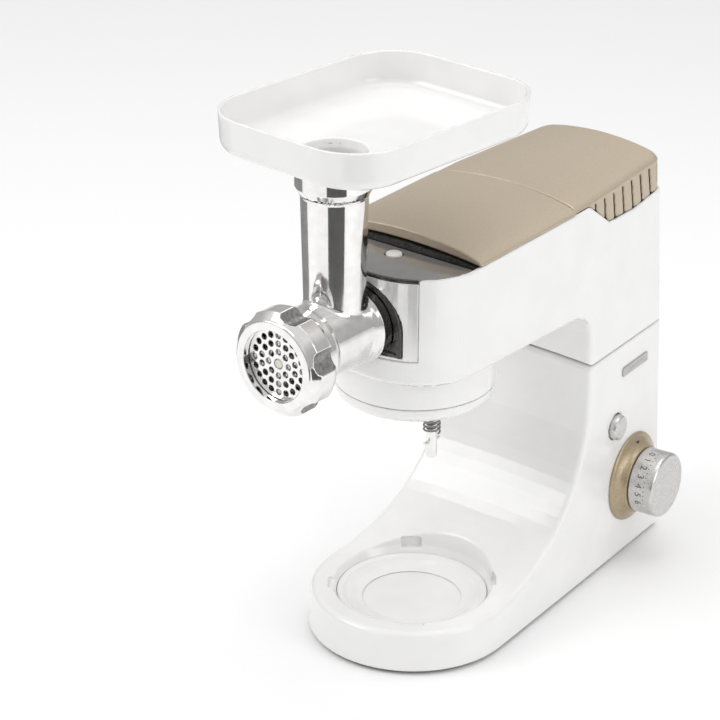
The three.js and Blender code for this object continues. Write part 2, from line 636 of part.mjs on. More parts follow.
function beltLoop(extra) {
  const far = MOTOR.y - IDLER.y;
  const rBig = IDLER.pulleyR + extra;
  const rSmall = MOTOR.pulleyR + extra;
  const lean = Math.acos((rBig - rSmall) / far);
  const shape = new THREE.Shape();
  shape.absarc(0, IDLER.y, rBig, Math.PI / 2 + lean, Math.PI * 2.5 - lean);
  shape.absarc(0, MOTOR.y, rSmall, Math.PI / 2 - lean, Math.PI / 2 + lean);
  return shape;
}
function buildBelt() {
  const outer = upright(beltLoop(GAP + 2.4), BELT_Z[0] + 1, BELT_Z[1] - 1, 8);
  const inner = upright(beltLoop(GAP + 0.4), BELT_Z[0] - 1, BELT_Z[1] + 1, 8);
  return less(outer, inner);
}
add('drive_belt', buildBelt(), rubber());
add('idler_pulley', upright(pulleyPlan(IDLER.pulleyTeeth, IDLER.pulleyR), ...BELT_Z, 4)
  .translate([0, IDLER.y, 0]), nylon());
add('idler_shaft', turnedZ([[0, 256], [5, 256], [5, 324], [3.5, 326], [0, 326]], 0, IDLER.y, 14),
  steel());
const pinionShape = gearShape(IDLER.pinionTeeth, IDLER.pinionR - GAP, IDLER.pinionR - 4, SHAFT_BORE);
add('idler_pinion', upright(pinionShape, 257, 267, 4).translate([0, IDLER.y, 0]), steel());

add('main_shaft', turnedZ(sleeve(0, 5, 210, 276), 0, 0, 14), steel());
const gearPlan = gearShape(MAIN_GEAR.teeth, MAIN_GEAR.pitchR - GAP, MAIN_GEAR.pitchR - 4, SHAFT_BORE);
add('main_gear', upright(gearPlan, 257.5, 263, 4), nylon());
function bevel(pairs, teeth) {
  const cone = turnedZ(pairs, 0, 0, 16);
  const teethBlock = upright(gearShape(teeth, 25.5, 22.5, SHAFT_BORE), -40, 40, 4);
  return common(cone, teethBlock);
}
const bevelCone = [[0, -26], [25.5, -26], [13.5, -14], [0, -14]];
add('main_bevel', bevel(bevelCone, 14).translate([0, 0, HUB_Z]), steel());
add('main_bearing', turnedZ(sleeve(5.4, 15.6, 247.4, 254), 0, 0, 20), steel());

add('hub_bevel', bevel(bevelCone, 14).rotate([-90, 0, 0]).translate([0, 0, HUB_Z]), steel());
add('hub_shaft', turnedY(sleeve(0, 5, -49, -14), 14), steel());
add('hub_bearing', turnedY(sleeve(5.4, 14, -46, -38), 20), steel());
function buildSocket() {
  const cup = turnedY(sleeve(0, 11.5, -61, -49.5), 24);
  const square = lengthwise(outlineOf(polygon(4, 7.2, Math.PI / 4)), -70, -51.5)
    .translate([0, 0, HUB_Z]);
  return less(cup, square);
}
add('hub_socket', buildSocket(), steel());

// ---------------------------------------------------------------- planetary drive
add('planet_ring', turnedZ([[16.5, PLANET.topZ - 3], [58.8, PLANET.topZ - 3],
  [58.8, PLANET.seamZ], [PLANET.r, PLANET.seamZ], [PLANET.r, PLANET.topZ], [16.5, PLANET.topZ]],
  0, 0, 30), white());

const toothedBore = gearShape(RING.teeth, RING.pitchR + 3, RING.pitchR + GAP, 0);
const ringGearShape = new THREE.Shape().absarc(0, 0, 58.4, 0, 2 * Math.PI);
ringGearShape.holes = [new THREE.Path(toothedBore.getPoints())];
add('ring_gear', upright(ringGearShape, ...MESH_Z, 14), nylon());

const beater = new THREE.Group();
const beaterAngle = THREE.MathUtils.degToRad(PLANET.angle);
const beaterOffset = RING.pitchR - PINION.pitchR;
beater.position.set(beaterOffset * Math.cos(beaterAngle), beaterOffset * Math.sin(beaterAngle), 0);
machine.add(beater);

function buildCarrier() {
  const z = PLANET.bottomZ;
  const seam = PLANET.seamZ - 0.5;
  const bowl = turnedZ([[0, z], [42, z], [54, z + 2.5], [60.5, z + 8], [PLANET.r, seam],
    [PLANET.r - 3, seam], [57, z + 9.5], [52, z + 5.6], [42, z + 3.5], [13, z + 3.5], [13, z + 8],
    [0, z + 8]], 0, 0, 30);
  const shaftBore = turnedZ(sleeve(0, 5.3, z + 5, z + 20), 0, 0, 14);
  const beaterBore = placed(turnedZ(sleeve(0, 8.4, z - 5, z + 20), 0, 0, 16), beater);
  return less(bowl, shaftBore, beaterBore);
}
add('planet_carrier', buildCarrier(), white());
add('beater_shaft', less(
  turnedZ([[0, 163], [3.4, 163], [4.4, 164.5], [4.4, 197], [5, 198], [5, 240], [0, 240]], 0, 0, 16),
  lengthwise(disc(1.9, 0, 176), -9, 9, 8),
), steel(), beater);
const planetPlan = gearShape(PINION.teeth, PINION.pitchR - GAP, PINION.pitchR - 3, SHAFT_BORE);
add('planet_pinion', upright(planetPlan, ...MESH_Z, 4), nylon(), beater);
add('beater_pin', lengthwise(disc(1.6, 0, 176), -9, 9, 8), steel(), beater);
add('beater_spring', coil(6.3, 0.8, 14, 4).translate(0, 0, 184), steel(), beater);

// ---------------------------------------------------------------- grinder
function buildHousing() {
  const g = GRINDER;
  const mouth = turnedY([[0, g.frontY], [g.collarR + 0.6, g.frontY], [g.collarR + 0.6, -146],
    [g.collarR, -145], [g.collarR, g.collarY - 3], [g.collarR - 3, g.collarY], [0, g.collarY]], 26);
  const barrel = turnedY([[0, -146], [g.barrelR, -146], [g.barrelR, -80], [g.barrelR - 3, -74],
    [0, -74]], 26, HUB_Z + g.barrelRise);
  const flange = turnedY([[0, -88], [g.flangeR - 4, -88], [g.flangeR, -78], [g.flangeR, g.rearY],
    [14, g.rearY], [14, -62.5], [0, -62.5]], 26);
  const chute = turnedZ([[0, 296], [CHUTE.footR, 296], [CHUTE.headR, CHUTE.collarZ],
    [CHUTE.collarR, CHUTE.collarZ + 8], [CHUTE.collarR, CHUTE.topZ], [0, CHUTE.topZ]],
    0, CHUTE.y, 26);
  const web = crosswise(outlineOf([[-85, 318], [-70, 318], [-74, 330], [-74, 336], [-80, 348],
    [-85, 348]]), -4, 4);
  const flat = crosswise(outlineOf([[-84, 240], [-50, 240], [-50, g.flatZ], [-75, g.flatZ]]), -60, 60);
  const bore = turnedY([[0, g.frontY - 5], [g.mouthR, g.frontY - 5], [g.mouthR, g.mouthY],
    [g.boreR, g.mouthY + 2], [g.boreR, -80], [7, -77], [7, -50], [0, -50]], 20);
  const feed = turnedZ([[0, 292], [CHUTE.boreR, 292], [CHUTE.boreR + 2, 400],
    [SPIGOT.r + GAP, 405], [SPIGOT.r + GAP, CHUTE.topZ + 5], [0, CHUTE.topZ + 5]], 0, CHUTE.y, 20);
  return less(joined(mouth, barrel, flange, chute, web), flat, bore, feed);
}
add('grinder_housing', buildHousing(), polished());

function buildAuger() {
  const length = 70;
  const turns = 2.2;
  const coreR = 8;
  const flightR = GRINDER.boreR - 0.8;
  const pairs = [];
  for (let i = 0; i < 15; i += 1) {
    const a = (2 * Math.PI * (i - 7)) / 15;
    const r = coreR + (flightR - coreR) * Math.exp(-((a / 0.42) ** 2));
    pairs.push([r * Math.cos(a), r * Math.sin(a)]);
  }
  const screw = extruded(outlineOf(pairs), length, 4, 18);
  const position = screw.attributes.position;
  for (let i = 0; i < position.count; i += 1) {
    const p = new THREE.Vector3().fromBufferAttribute(position, i);
    p.applyAxisAngle(new THREE.Vector3(0, 0, 1), (2 * Math.PI * turns * p.z) / length);
    position.setXYZ(i, p.x, p.y, p.z);
  }
  const flight = solid(screw.rotateX(Math.PI / 2).translate(0, -81.5, HUB_Z));
  const journal = turnedY(sleeve(0, 6.6, -82, -61.5), 16);
  const square = (r, y0, y1) =>
    lengthwise(outlineOf(polygon(4, r, Math.PI / 4)), y0, y1).translate([0, 0, HUB_Z]);
  const nose = turnedY(sleeve(0, 3.4, -163, -151), 12);
  return joined(flight, journal, square(6.6, -62, -52.5), square(6.2, -158, -151), nose);
}
add('auger', buildAuger(), nylon());

function buildBlade() {
  const arms = [0, 1].map((i) => {
    const arm = outlineOf([[-27, -2.4], [-8, -5], [8, -5], [27, -2.4], [27, 3.4], [-27, 3.4]]);
    return solid(extruded(arm, 3.4).rotateZ((i * Math.PI) / 2).rotateX(Math.PI / 2));
  });
  const hub = solid(extruded(disc(9.5), 3.4, 10).rotateX(Math.PI / 2));
  const hole = lengthwise(outlineOf(polygon(4, 6.7, Math.PI / 4)), -10, 10);
  return less(joined(hub, ...arms), hole).translate([0, -154.4, HUB_Z]);
}
add('cutter_blade', buildBlade(), polished());

function buildPlate() {
  const body = disc(PLATE.r);
  body.holes = [circle(4)];
  const rows = Math.ceil(24 / PLATE.pitch);
  for (let row = -rows; row <= rows; row += 1) {
    for (let column = -rows; column <= rows; column += 1) {
      const x = PLATE.pitch * (column + row / 2);
      const y = PLATE.pitch * row * Math.sin(Math.PI / 3);
      const far = Math.hypot(x, y);
      if (far > 7 && far < 25) body.holes.push(new THREE.Path(points(polygon(4, PLATE.holeR)
        .map(([a, b]) => [a + x, b + y]))));
    }
  }
  return lengthwise(body, GRINDER.frontY - GAP - PLATE.thick, GRINDER.frontY - GAP, 16)
    .translate([0, 0, HUB_Z]);
}
add('grinder_plate', buildPlate(), polished());

function buildNut() {
  const n = NUT;
  const body = turnedY([[n.openR, n.frontY], [n.faceR, n.frontY], [n.lobeR, n.frontY + 6],
    [n.lobeR, n.backY - 4], [n.lobeR - 3, n.backY], [n.rimR, n.backY], [n.rimR, n.rimY],
    [n.openR, n.rimY]], 24);
  const grooves = [];
  for (let i = 0; i < n.lobes; i += 1) {
    const a = THREE.MathUtils.degToRad(n.grooveTurn + (360 * i) / n.lobes);
    const groove = turnedY([[0, n.frontY - 1], [4, n.frontY - 1], [n.grooveR, n.frontY + 6],
      [n.grooveR, n.backY + 5], [0, n.backY + 5]], 12, 0);
    grooves.push(groove.translate([n.grooveAt * Math.cos(a), 0, HUB_Z + n.grooveAt * Math.sin(a)]));
  }
  return less(body, ...grooves);
}
add('ring_nut', buildNut(), polished());

function trayPlan(inset) {
  const half = TRAY.half - inset;
  const front = TRAY.frontY + inset;
  const rear = TRAY.rearY - inset;
  const r = TRAY.cornerR - inset;
  const shape = new THREE.Shape();
  shape.moveTo(half, front + r);
  shape.absarc(half - r, rear - r, r, 0, Math.PI / 2);
  shape.absarc(-half + r, rear - r, r, Math.PI / 2, Math.PI);
  shape.absarc(-half + r, front + r, r, Math.PI, 1.5 * Math.PI);
  shape.absarc(half - r, front + r, r, 1.5 * Math.PI, 2 * Math.PI);
  return shape;
}
function buildTray() {
  const outer = upright(trayPlan(0), TRAY.floorZ, TRAY.rimZ, 7);
  const inner = upright(trayPlan(TRAY.skin), TRAY.floorZ + TRAY.skin, TRAY.rimZ + 5, 7);
  const spigot = turnedZ(sleeve(0, SPIGOT.r, SPIGOT.footZ, TRAY.floorZ + 1), 0, CHUTE.y, 20);
  const hole = turnedZ([[0, SPIGOT.footZ - 5], [SPIGOT.boreR, SPIGOT.footZ - 5],
    [SPIGOT.boreR, TRAY.floorZ - 4], [SPIGOT.boreR + 4, TRAY.floorZ + 5], [0, TRAY.floorZ + 5]],
    0, CHUTE.y, 20);
  return less(joined(less(outer, inner), spigot), hole).translate([0, -CHUTE.y, 0])
    .rotate([0, 0, TRAY.turn]).translate([0, CHUTE.y, 0]);
}
add('feed_tray', buildTray(), white());

export default machine;
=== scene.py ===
"""Looks of the tilt-head kitchen machine with a meat grinder on its front hub.

Shapes are worked out in millimetres in the row frame and written to Blender in metres.
Large mouldings and castings are skins of a distance field; turned pieces are lathed profiles.
"""
import json
import math

import bmesh
import bpy
import numpy as np
from mathutils import Matrix, Vector

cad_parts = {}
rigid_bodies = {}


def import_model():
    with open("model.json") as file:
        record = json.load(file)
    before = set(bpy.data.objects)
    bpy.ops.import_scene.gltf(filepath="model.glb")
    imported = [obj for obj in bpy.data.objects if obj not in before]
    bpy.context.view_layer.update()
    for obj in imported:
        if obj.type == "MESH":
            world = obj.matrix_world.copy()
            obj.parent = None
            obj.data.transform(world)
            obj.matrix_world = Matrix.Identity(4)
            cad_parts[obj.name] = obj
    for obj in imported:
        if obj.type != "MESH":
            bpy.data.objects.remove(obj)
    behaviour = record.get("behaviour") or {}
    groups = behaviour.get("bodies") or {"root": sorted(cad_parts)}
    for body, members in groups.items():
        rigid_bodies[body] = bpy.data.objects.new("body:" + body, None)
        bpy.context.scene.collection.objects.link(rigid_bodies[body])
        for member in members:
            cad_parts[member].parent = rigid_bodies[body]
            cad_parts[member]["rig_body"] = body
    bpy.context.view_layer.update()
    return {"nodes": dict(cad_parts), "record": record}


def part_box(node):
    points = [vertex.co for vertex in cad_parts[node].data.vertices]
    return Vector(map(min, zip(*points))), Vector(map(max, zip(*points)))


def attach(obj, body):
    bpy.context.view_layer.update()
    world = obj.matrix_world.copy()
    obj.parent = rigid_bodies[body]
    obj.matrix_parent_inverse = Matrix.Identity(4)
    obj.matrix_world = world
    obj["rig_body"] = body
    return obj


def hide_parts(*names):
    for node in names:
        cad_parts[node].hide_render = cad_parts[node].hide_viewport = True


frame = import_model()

NODES = frame["nodes"]
SLOT_OF = {part["node"]: part["material_slot"] for part in frame["record"]["subparts"]}
MM = 0.001

# ------------------------------------------------------------------ dimensions, as in the CAD
NOSE_R, REAR_HALF, REAR_Y = 84.0, 60.0, 255.0
UNDER_Z, BASE_TOP, SEAM_Z = 3.0, 37.0, 198.0
PLUMB_Z = 306.0                       # the rear wall leans below this height
SEAM_BACK, FOOT_BACK = 8.0, 17.7      # how far back the wall stands at the seam and at the foot
SEAM_SPREAD, FOOT_SPREAD = 0.022, 0.067
WALL = 3.0
SCOOP_Y, SCOOP_R, ROOF_Z, ROOF_FILLET, STRETCH = -60.0, 202.5, 247.0, 23.0, 2.0
HEAD_HALF, NOSE_Y, TAPER_Y = 70.0, -72.0, 139.0
NOSE_START = -14.0
EDGE_Z, RISE = 335.0, 0.026
CROWN_FOOT, CROWN_HEIGHT, CROWN_POWER = EDGE_Z + 1.8, 11.2, 1.77
COVER_FRONT, COVER_SPLIT, COVER_GAP = -12.0, 113.0, 0.35
HUB_Z = 290.0
ARCH_R, ARCH_FLOOR, ARCH_GAP = 38.6, 271.0, 0.3
FLUTE_AT, FLUTE_R, FLUTE_TURN = 46.2, 10.8, 15.0
CHUTE_Y, CHUTE_TOP = -99.0, 430.0
ORBIT_R, ORBIT_TURN = 25.5, math.radians(-20)
BEATER = (ORBIT_R * math.cos(ORBIT_TURN), ORBIT_R * math.sin(ORBIT_TURN))
TILT_Y, TILT_Z, LUG_X = 254.0, 208.0, 42.0
DIAL, RELEASE, STRIP = (215, 70.2), (185, 128), (214, 174)   # (y, z) on the right flank
NOSE_TOUCH = math.atan2(REAR_Y, REAR_HALF) - math.acos(NOSE_R / math.hypot(REAR_HALF, REAR_Y))


def lean_at(z):
    """How far back the rear wall stands at a height, and by what share the rear half widens."""
    upper, lower = (PLUMB_Z - z) / (PLUMB_Z - SEAM_Z), (SEAM_Z - z) / (SEAM_Z - UNDER_Z)
    return [np.where(z >= SEAM_Z, seam * upper, seam + (foot - seam) * lower)
            for seam, foot in ((SEAM_BACK, FOOT_BACK), (SEAM_SPREAD, FOOT_SPREAD))]


def plumb(P):
    """The x and y that points would have if the rear wall did not lean."""
    x, y, z = P.T
    back, spread = lean_at(z)
    rear = np.maximum(y, 0) / (1 + back / REAR_Y)
    return x / (1 + spread * rear / REAR_Y), np.where(y > 0, rear, y)


def flank(y, z):
    """The turn of the right flank from +X at a height, and its x there."""
    back, spread = lean_at(z)
    half, rear = REAR_HALF * (1 + spread), REAR_Y + back
    turn = math.atan2(rear, half) - math.acos(NOSE_R / math.hypot(half, rear))
    return turn, (NOSE_R - y * math.sin(turn)) / math.cos(turn)


# ------------------------------------------------------------------ camera, lights and floor
def build_camera():
    turn, tilt, roll = math.radians(38.61), math.radians(24.784), math.radians(-0.253)
    back = Vector((math.sin(turn) * math.cos(tilt), -math.cos(turn) * math.cos(tilt), math.sin(tilt)))
    right = Vector((math.cos(turn), math.sin(turn), 0))
    up = back.cross(right)
    across = right * math.cos(roll) - up * math.sin(roll)
    above = right * math.sin(roll) + up * math.cos(roll)
    data = bpy.data.cameras.new("camera")
    data.sensor_width, data.lens = 36.0, 131.95
    data.clip_start, data.clip_end = 0.1, 20.0
    camera = bpy.data.objects.new("camera", data)
    place = Matrix((across, above, back)).transposed().to_4x4()
    place.translation = Vector((1.128, -1.481, 1.094))
    camera.matrix_world = place
    bpy.context.scene.collection.objects.link(camera)
    bpy.context.scene.camera = camera


def area_light(name, place, aim, size, power):
    data = bpy.data.lights.new(name, "AREA")
    data.shape, data.size, data.size_y, data.energy = "RECTANGLE", size[0], size[1], power
    light = bpy.data.objects.new(name, data)
    light.location = place
    light.rotation_euler = (Vector(aim) - Vector(place)).to_track_quat("-Z", "Y").to_euler()
    bpy.context.scene.collection.objects.link(light)


def build_stage():
    scene = bpy.context.scene
    scene.view_settings.view_transform = "Standard"
    world = bpy.data.worlds.new("studio")
    scene.world = world
    world.use_nodes = True
    tree = world.node_tree
    background = tree.nodes["Background"]
    coords = tree.nodes.new("ShaderNodeTexCoord")
    split = tree.nodes.new("ShaderNodeSeparateXYZ")
    ramp = tree.nodes.new("ShaderNodeValToRGB")
    tree.links.new(coords.outputs["Generated"], split.inputs[0])
    tree.links.new(split.outputs["Z"], ramp.inputs[0])
    tree.links.new(ramp.outputs[0], background.inputs[0])
    stops = [(0.0, 0.55), (0.42, 0.62), (0.62, 0.98), (1.0, 1.0)]
    ramp.color_ramp.elements[0].position, ramp.color_ramp.elements[1].position = 0.0, 1.0
    for at, _ in stops[1:-1]:
        ramp.color_ramp.elements.new(at)
    for element, (_, level) in zip(ramp.color_ramp.elements, stops):
        element.color = (level, level, level, 1)
    background.inputs[1].default_value = 0.82

    middle = (0, 0.05, 0.2)
    area_light("key", (-1.3, -1.5, 1.9), middle, (1.4, 1.4), 18)
    area_light("side", (2.0, 0.1, 1.0), middle, (0.9, 1.6), 9.5)
    area_light("top", (0.1, 0.3, 2.3), middle, (1.6, 1.6), 12)

    bpy.ops.mesh.primitive_plane_add(size=12, location=(0, 0, 0))
    floor = bpy.context.object
    floor.name = "floor"
    floor.data.materials.append(make_material("floor", dict(
        dark=(0.96, 0.96, 0.96), light=(0.97, 0.97, 0.97), rough=(0.55, 0.7), grain=900, bump=0)))
    # Grey cards out of the camera's sight, which only the polished metal reflects.
    far = 0.62
    for name, around, size, tone in (("flag_front", -44, (0.66, 0.24), 0.10),
                                     ("flag_left", 176, (0.75, 0.24), 0.30)):
        turn = math.radians(around)
        bpy.ops.mesh.primitive_plane_add(size=1)
        flag = bpy.context.object
        flag.name = name
        flag.scale = (size[0], size[1], 1)
        flag.rotation_euler = (math.pi / 2, 0, turn + math.pi / 2)
        flag.location = (far * math.cos(turn), -0.1 + far * math.sin(turn), size[1] / 2 + 0.002)
        flag.data.materials.append(make_material(name, dict(
            dark=(tone * 0.9,) * 3, light=(tone * 1.1,) * 3, rough=(0.8, 0.9), grain=20, bump=0)))
        flag.visible_camera = flag.visible_diffuse = flag.visible_shadow = False


# ------------------------------------------------------------------ materials
def make_material(name, spec):
    """A procedural finish: colour mottle, roughness that varies, and a fine bump."""
    material = bpy.data.materials.new(name)
    material.use_nodes = True
    tree = material.node_tree
    shader = tree.nodes["Principled BSDF"]
    shader.inputs["Metallic"].default_value = spec.get("metal", 0.0)
    shader.inputs["Coat Weight"].default_value = spec.get("coat", 0.0)
    shader.inputs["Coat Roughness"].default_value = spec.get("coat_rough", 0.05)
    shader.inputs["Anisotropic"].default_value = spec.get("brushed", 0.0)
    coords = tree.nodes.new("ShaderNodeTexCoord")
    place = tree.nodes.new("ShaderNodeMapping")
    place.inputs["Scale"].default_value = spec.get("stretch", (1, 1, 1))
    tree.links.new(coords.outputs["Object"], place.inputs[0])

    def noise(scale, detail=3.0):
        node = tree.nodes.new("ShaderNodeTexNoise")
        node.inputs["Scale"].default_value = scale
        node.inputs["Detail"].default_value = detail
        tree.links.new(place.outputs[0], node.inputs["Vector"])
        return node.outputs["Fac"]

    ramp = tree.nodes.new("ShaderNodeValToRGB")
    ramp.color_ramp.elements[0].position, ramp.color_ramp.elements[1].position = 0.35, 0.65
    ramp.color_ramp.elements[0].color = (*spec["dark"], 1)
    ramp.color_ramp.elements[1].color = (*spec["light"], 1)
    tree.links.new(noise(spec.get("mottle", spec["grain"] * 0.3)), ramp.inputs[0])
    tree.links.new(ramp.outputs[0], shader.inputs["Base Color"])

    spread = tree.nodes.new("ShaderNodeMapRange")
    spread.inputs["From Min"].default_value, spread.inputs["From Max"].default_value = 0.3, 0.7
    spread.inputs["To Min"].default_value, spread.inputs["To Max"].default_value = spec["rough"]
    tree.links.new(noise(spec["grain"]), spread.inputs["Value"])
    tree.links.new(spread.outputs[0], shader.inputs["Roughness"])

    if spec["bump"] > 0:
        fine = tree.nodes.new("ShaderNodeBump")
        fine.inputs["Strength"].default_value = spec["bump"]
        fine.inputs["Distance"].default_value = spec.get("depth", 0.0001)
        tree.links.new(noise(spec["grain"] * 2, 4.0), fine.inputs["Height"])
        if spec.get("wave"):
            broad = tree.nodes.new("ShaderNodeBump")
            broad.inputs["Strength"].default_value = spec["wave"]
            broad.inputs["Distance"].default_value = 0.001
            tree.links.new(noise(spec["wave_scale"], 1.0), broad.inputs["Height"])
            tree.links.new(broad.outputs[0], fine.inputs["Normal"])
        tree.links.new(fine.outputs[0], shader.inputs["Normal"])
    return material


FINISHES = {
    "white_shell": dict(dark=(0.86, 0.855, 0.85), light=(0.89, 0.885, 0.88), rough=(0.16, 0.26),
                        grain=500, mottle=30, bump=0.05, coat=0.5, coat_rough=0.06),
    "gold_cover": dict(dark=(0.52, 0.435, 0.325), light=(0.57, 0.48, 0.365), rough=(0.34, 0.44),
                       grain=2600, bump=0.25, depth=0.00005, metal=0.45, coat=0.25, coat_rough=0.3),
    "smoked_panel": dict(dark=(0.20, 0.19, 0.18), light=(0.24, 0.225, 0.21), rough=(0.03, 0.08),
                         grain=300, mottle=25, bump=0.02, coat=1.0, coat_rough=0.02),
    "black_plastic": dict(dark=(0.018, 0.017, 0.015), light=(0.03, 0.028, 0.025), rough=(0.16, 0.3),
                          grain=700, bump=0.06, coat=0.3),
    "bezel": dict(dark=(0.76, 0.755, 0.75), light=(0.82, 0.815, 0.81), rough=(0.1, 0.18),
                  grain=800, mottle=60, bump=0.03, metal=0.35, coat=0.5),
    "polished_metal": dict(dark=(0.80, 0.79, 0.78), light=(0.88, 0.87, 0.86), rough=(0.05, 0.13),
                           grain=900, mottle=120, bump=0.04, metal=1.0, wave=0.05, wave_scale=45),
    "dark_steel": dict(dark=(0.24, 0.235, 0.23), light=(0.34, 0.335, 0.33), rough=(0.25, 0.4),
                       grain=1200, stretch=(1, 1, 0.15), bump=0.15, metal=1.0),
    "satin_silver": dict(dark=(0.60, 0.585, 0.57), light=(0.70, 0.685, 0.67), rough=(0.24, 0.36),
                         grain=1500, bump=0.15, metal=0.9, brushed=0.4),
    "rubber": dict(dark=(0.03, 0.03, 0.03), light=(0.05, 0.05, 0.05), rough=(0.6, 0.8),
                   grain=900, bump=0.3),
    "nylon": dict(dark=(0.72, 0.69, 0.62), light=(0.8, 0.77, 0.7), rough=(0.35, 0.5),
                  grain=600, mottle=80, bump=0.1),
    "copper": dict(dark=(0.38, 0.15, 0.07), light=(0.62, 0.28, 0.14), rough=(0.25, 0.45),
                   grain=1400, stretch=(1, 1, 0.05), bump=0.6, depth=0.0004, metal=0.8),
    "board": dict(dark=(0.02, 0.10, 0.04), light=(0.04, 0.16, 0.07), rough=(0.3, 0.5),
                  grain=400, mottle=300, bump=0.2, coat=0.3),
    "strip": dict(dark=(0.44, 0.43, 0.42), light=(0.56, 0.55, 0.54), rough=(0.28, 0.42),
                  grain=1500, stretch=(0.1, 0.1, 1), bump=0.2, metal=0.6, brushed=0.5),
    "gold_trim": dict(dark=(0.40, 0.315, 0.205), light=(0.46, 0.37, 0.25), rough=(0.3, 0.42),
                      grain=1800, bump=0.2, depth=0.00005, metal=0.6, coat=0.2, coat_rough=0.3),
    # a darker, rougher metal for the faces in the flutes of the nut rim
    "flute_darker_metal": dict(dark=(0.22, 0.215, 0.21), light=(0.36, 0.355, 0.35), rough=(0.3, 0.5),
                       grain=1400, bump=0.3, metal=0.9),
    "print": dict(dark=(0.05, 0.05, 0.05), light=(0.09, 0.09, 0.09), rough=(0.4, 0.6),
                  grain=900, bump=0.05),
}
MATERIALS = {slot: make_material(slot, spec) for slot, spec in FINISHES.items()}


def finish_piece(piece, node, slot=None):
    """Gives a piece its finish and makes it ride with the CAD node that it belongs to.

    The finish may be one that the record doesn't list; without one, the piece takes the slot of that
    node.
    """
    slot = slot or SLOT_OF[node]
    piece.data.materials.clear()
    piece.data.materials.append(MATERIALS[slot])
    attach(piece, NODES[node]["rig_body"])
    return piece


def stands_for(piece, *nodes):
    finish_piece(piece, nodes[0])
    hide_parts(*nodes)
    return piece


# ------------------------------------------------------------------ distance fields, in mm
def rmax(a, b, r):
    """Both of two solids, with the edge between them rounded to radius r."""
    corner = np.hypot(np.maximum(a + r, 0), np.maximum(b + r, 0))
    return np.minimum(np.maximum(a, b), -r) + corner


def rmin(a, b, r):
    """Either of two solids, with a fillet of radius r between them."""
    return -rmax(-a, -b, r)


def outline(px, py, pts):
    """Signed distance to a closed outline, negative inside."""
    best = np.full(px.shape, 1e12)
    inside = np.zeros(px.shape, bool)
    for (ax, ay), (bx, by) in zip(pts, pts[1:] + pts[:1]):
        ex, ey = bx - ax, by - ay
        wx, wy = px - ax, py - ay
        t = np.clip((wx * ex + wy * ey) / (ex * ex + ey * ey), 0, 1)
        best = np.minimum(best, (wx - t * ex) ** 2 + (wy - t * ey) ** 2)
        if ay != by:
            inside ^= ((ay > py) != (by > py)) & (px < ex * (py - ay) / ey + ax)
    return np.where(inside, -1, 1) * np.sqrt(best)


def slab(v, lo, hi):
    return np.maximum(lo - v, v - hi)


def block(P, lo, hi, r=0.0):
    """A box with rounded edges."""
    lo, hi = np.array(lo, float), np.array(hi, float)
    q = np.abs(P - (lo + hi) / 2) - (hi - lo) / 2 + r
    return np.linalg.norm(np.maximum(q, 0), axis=1) + np.minimum(q.max(1), 0) - r


def bezier(p0, p1, p2, p3, count):
    pts = []
    for i in range(count + 1):
        t = i / count
        w = ((1 - t) ** 3, 3 * t * (1 - t) ** 2, 3 * t * t * (1 - t), t ** 3)
        pts.append(tuple(sum(k * p[c] for k, p in zip(w, (p0, p1, p2, p3))) for c in (0, 1)))
    return pts


def placed(name, mesh):
    """A new object of a mesh, linked into the scene."""
    piece = bpy.data.objects.new(name, mesh)
    bpy.context.scene.collection.objects.link(piece)
    return piece


def spun(P, turn):
    """Points turned about Z by -turn, so that a shape drawn at 0 appears at turn."""
    c, s = math.cos(turn), math.sin(turn)
    return np.stack([P[:, 0] * c + P[:, 1] * s, -P[:, 0] * s + P[:, 1] * c, P[:, 2]], 1)


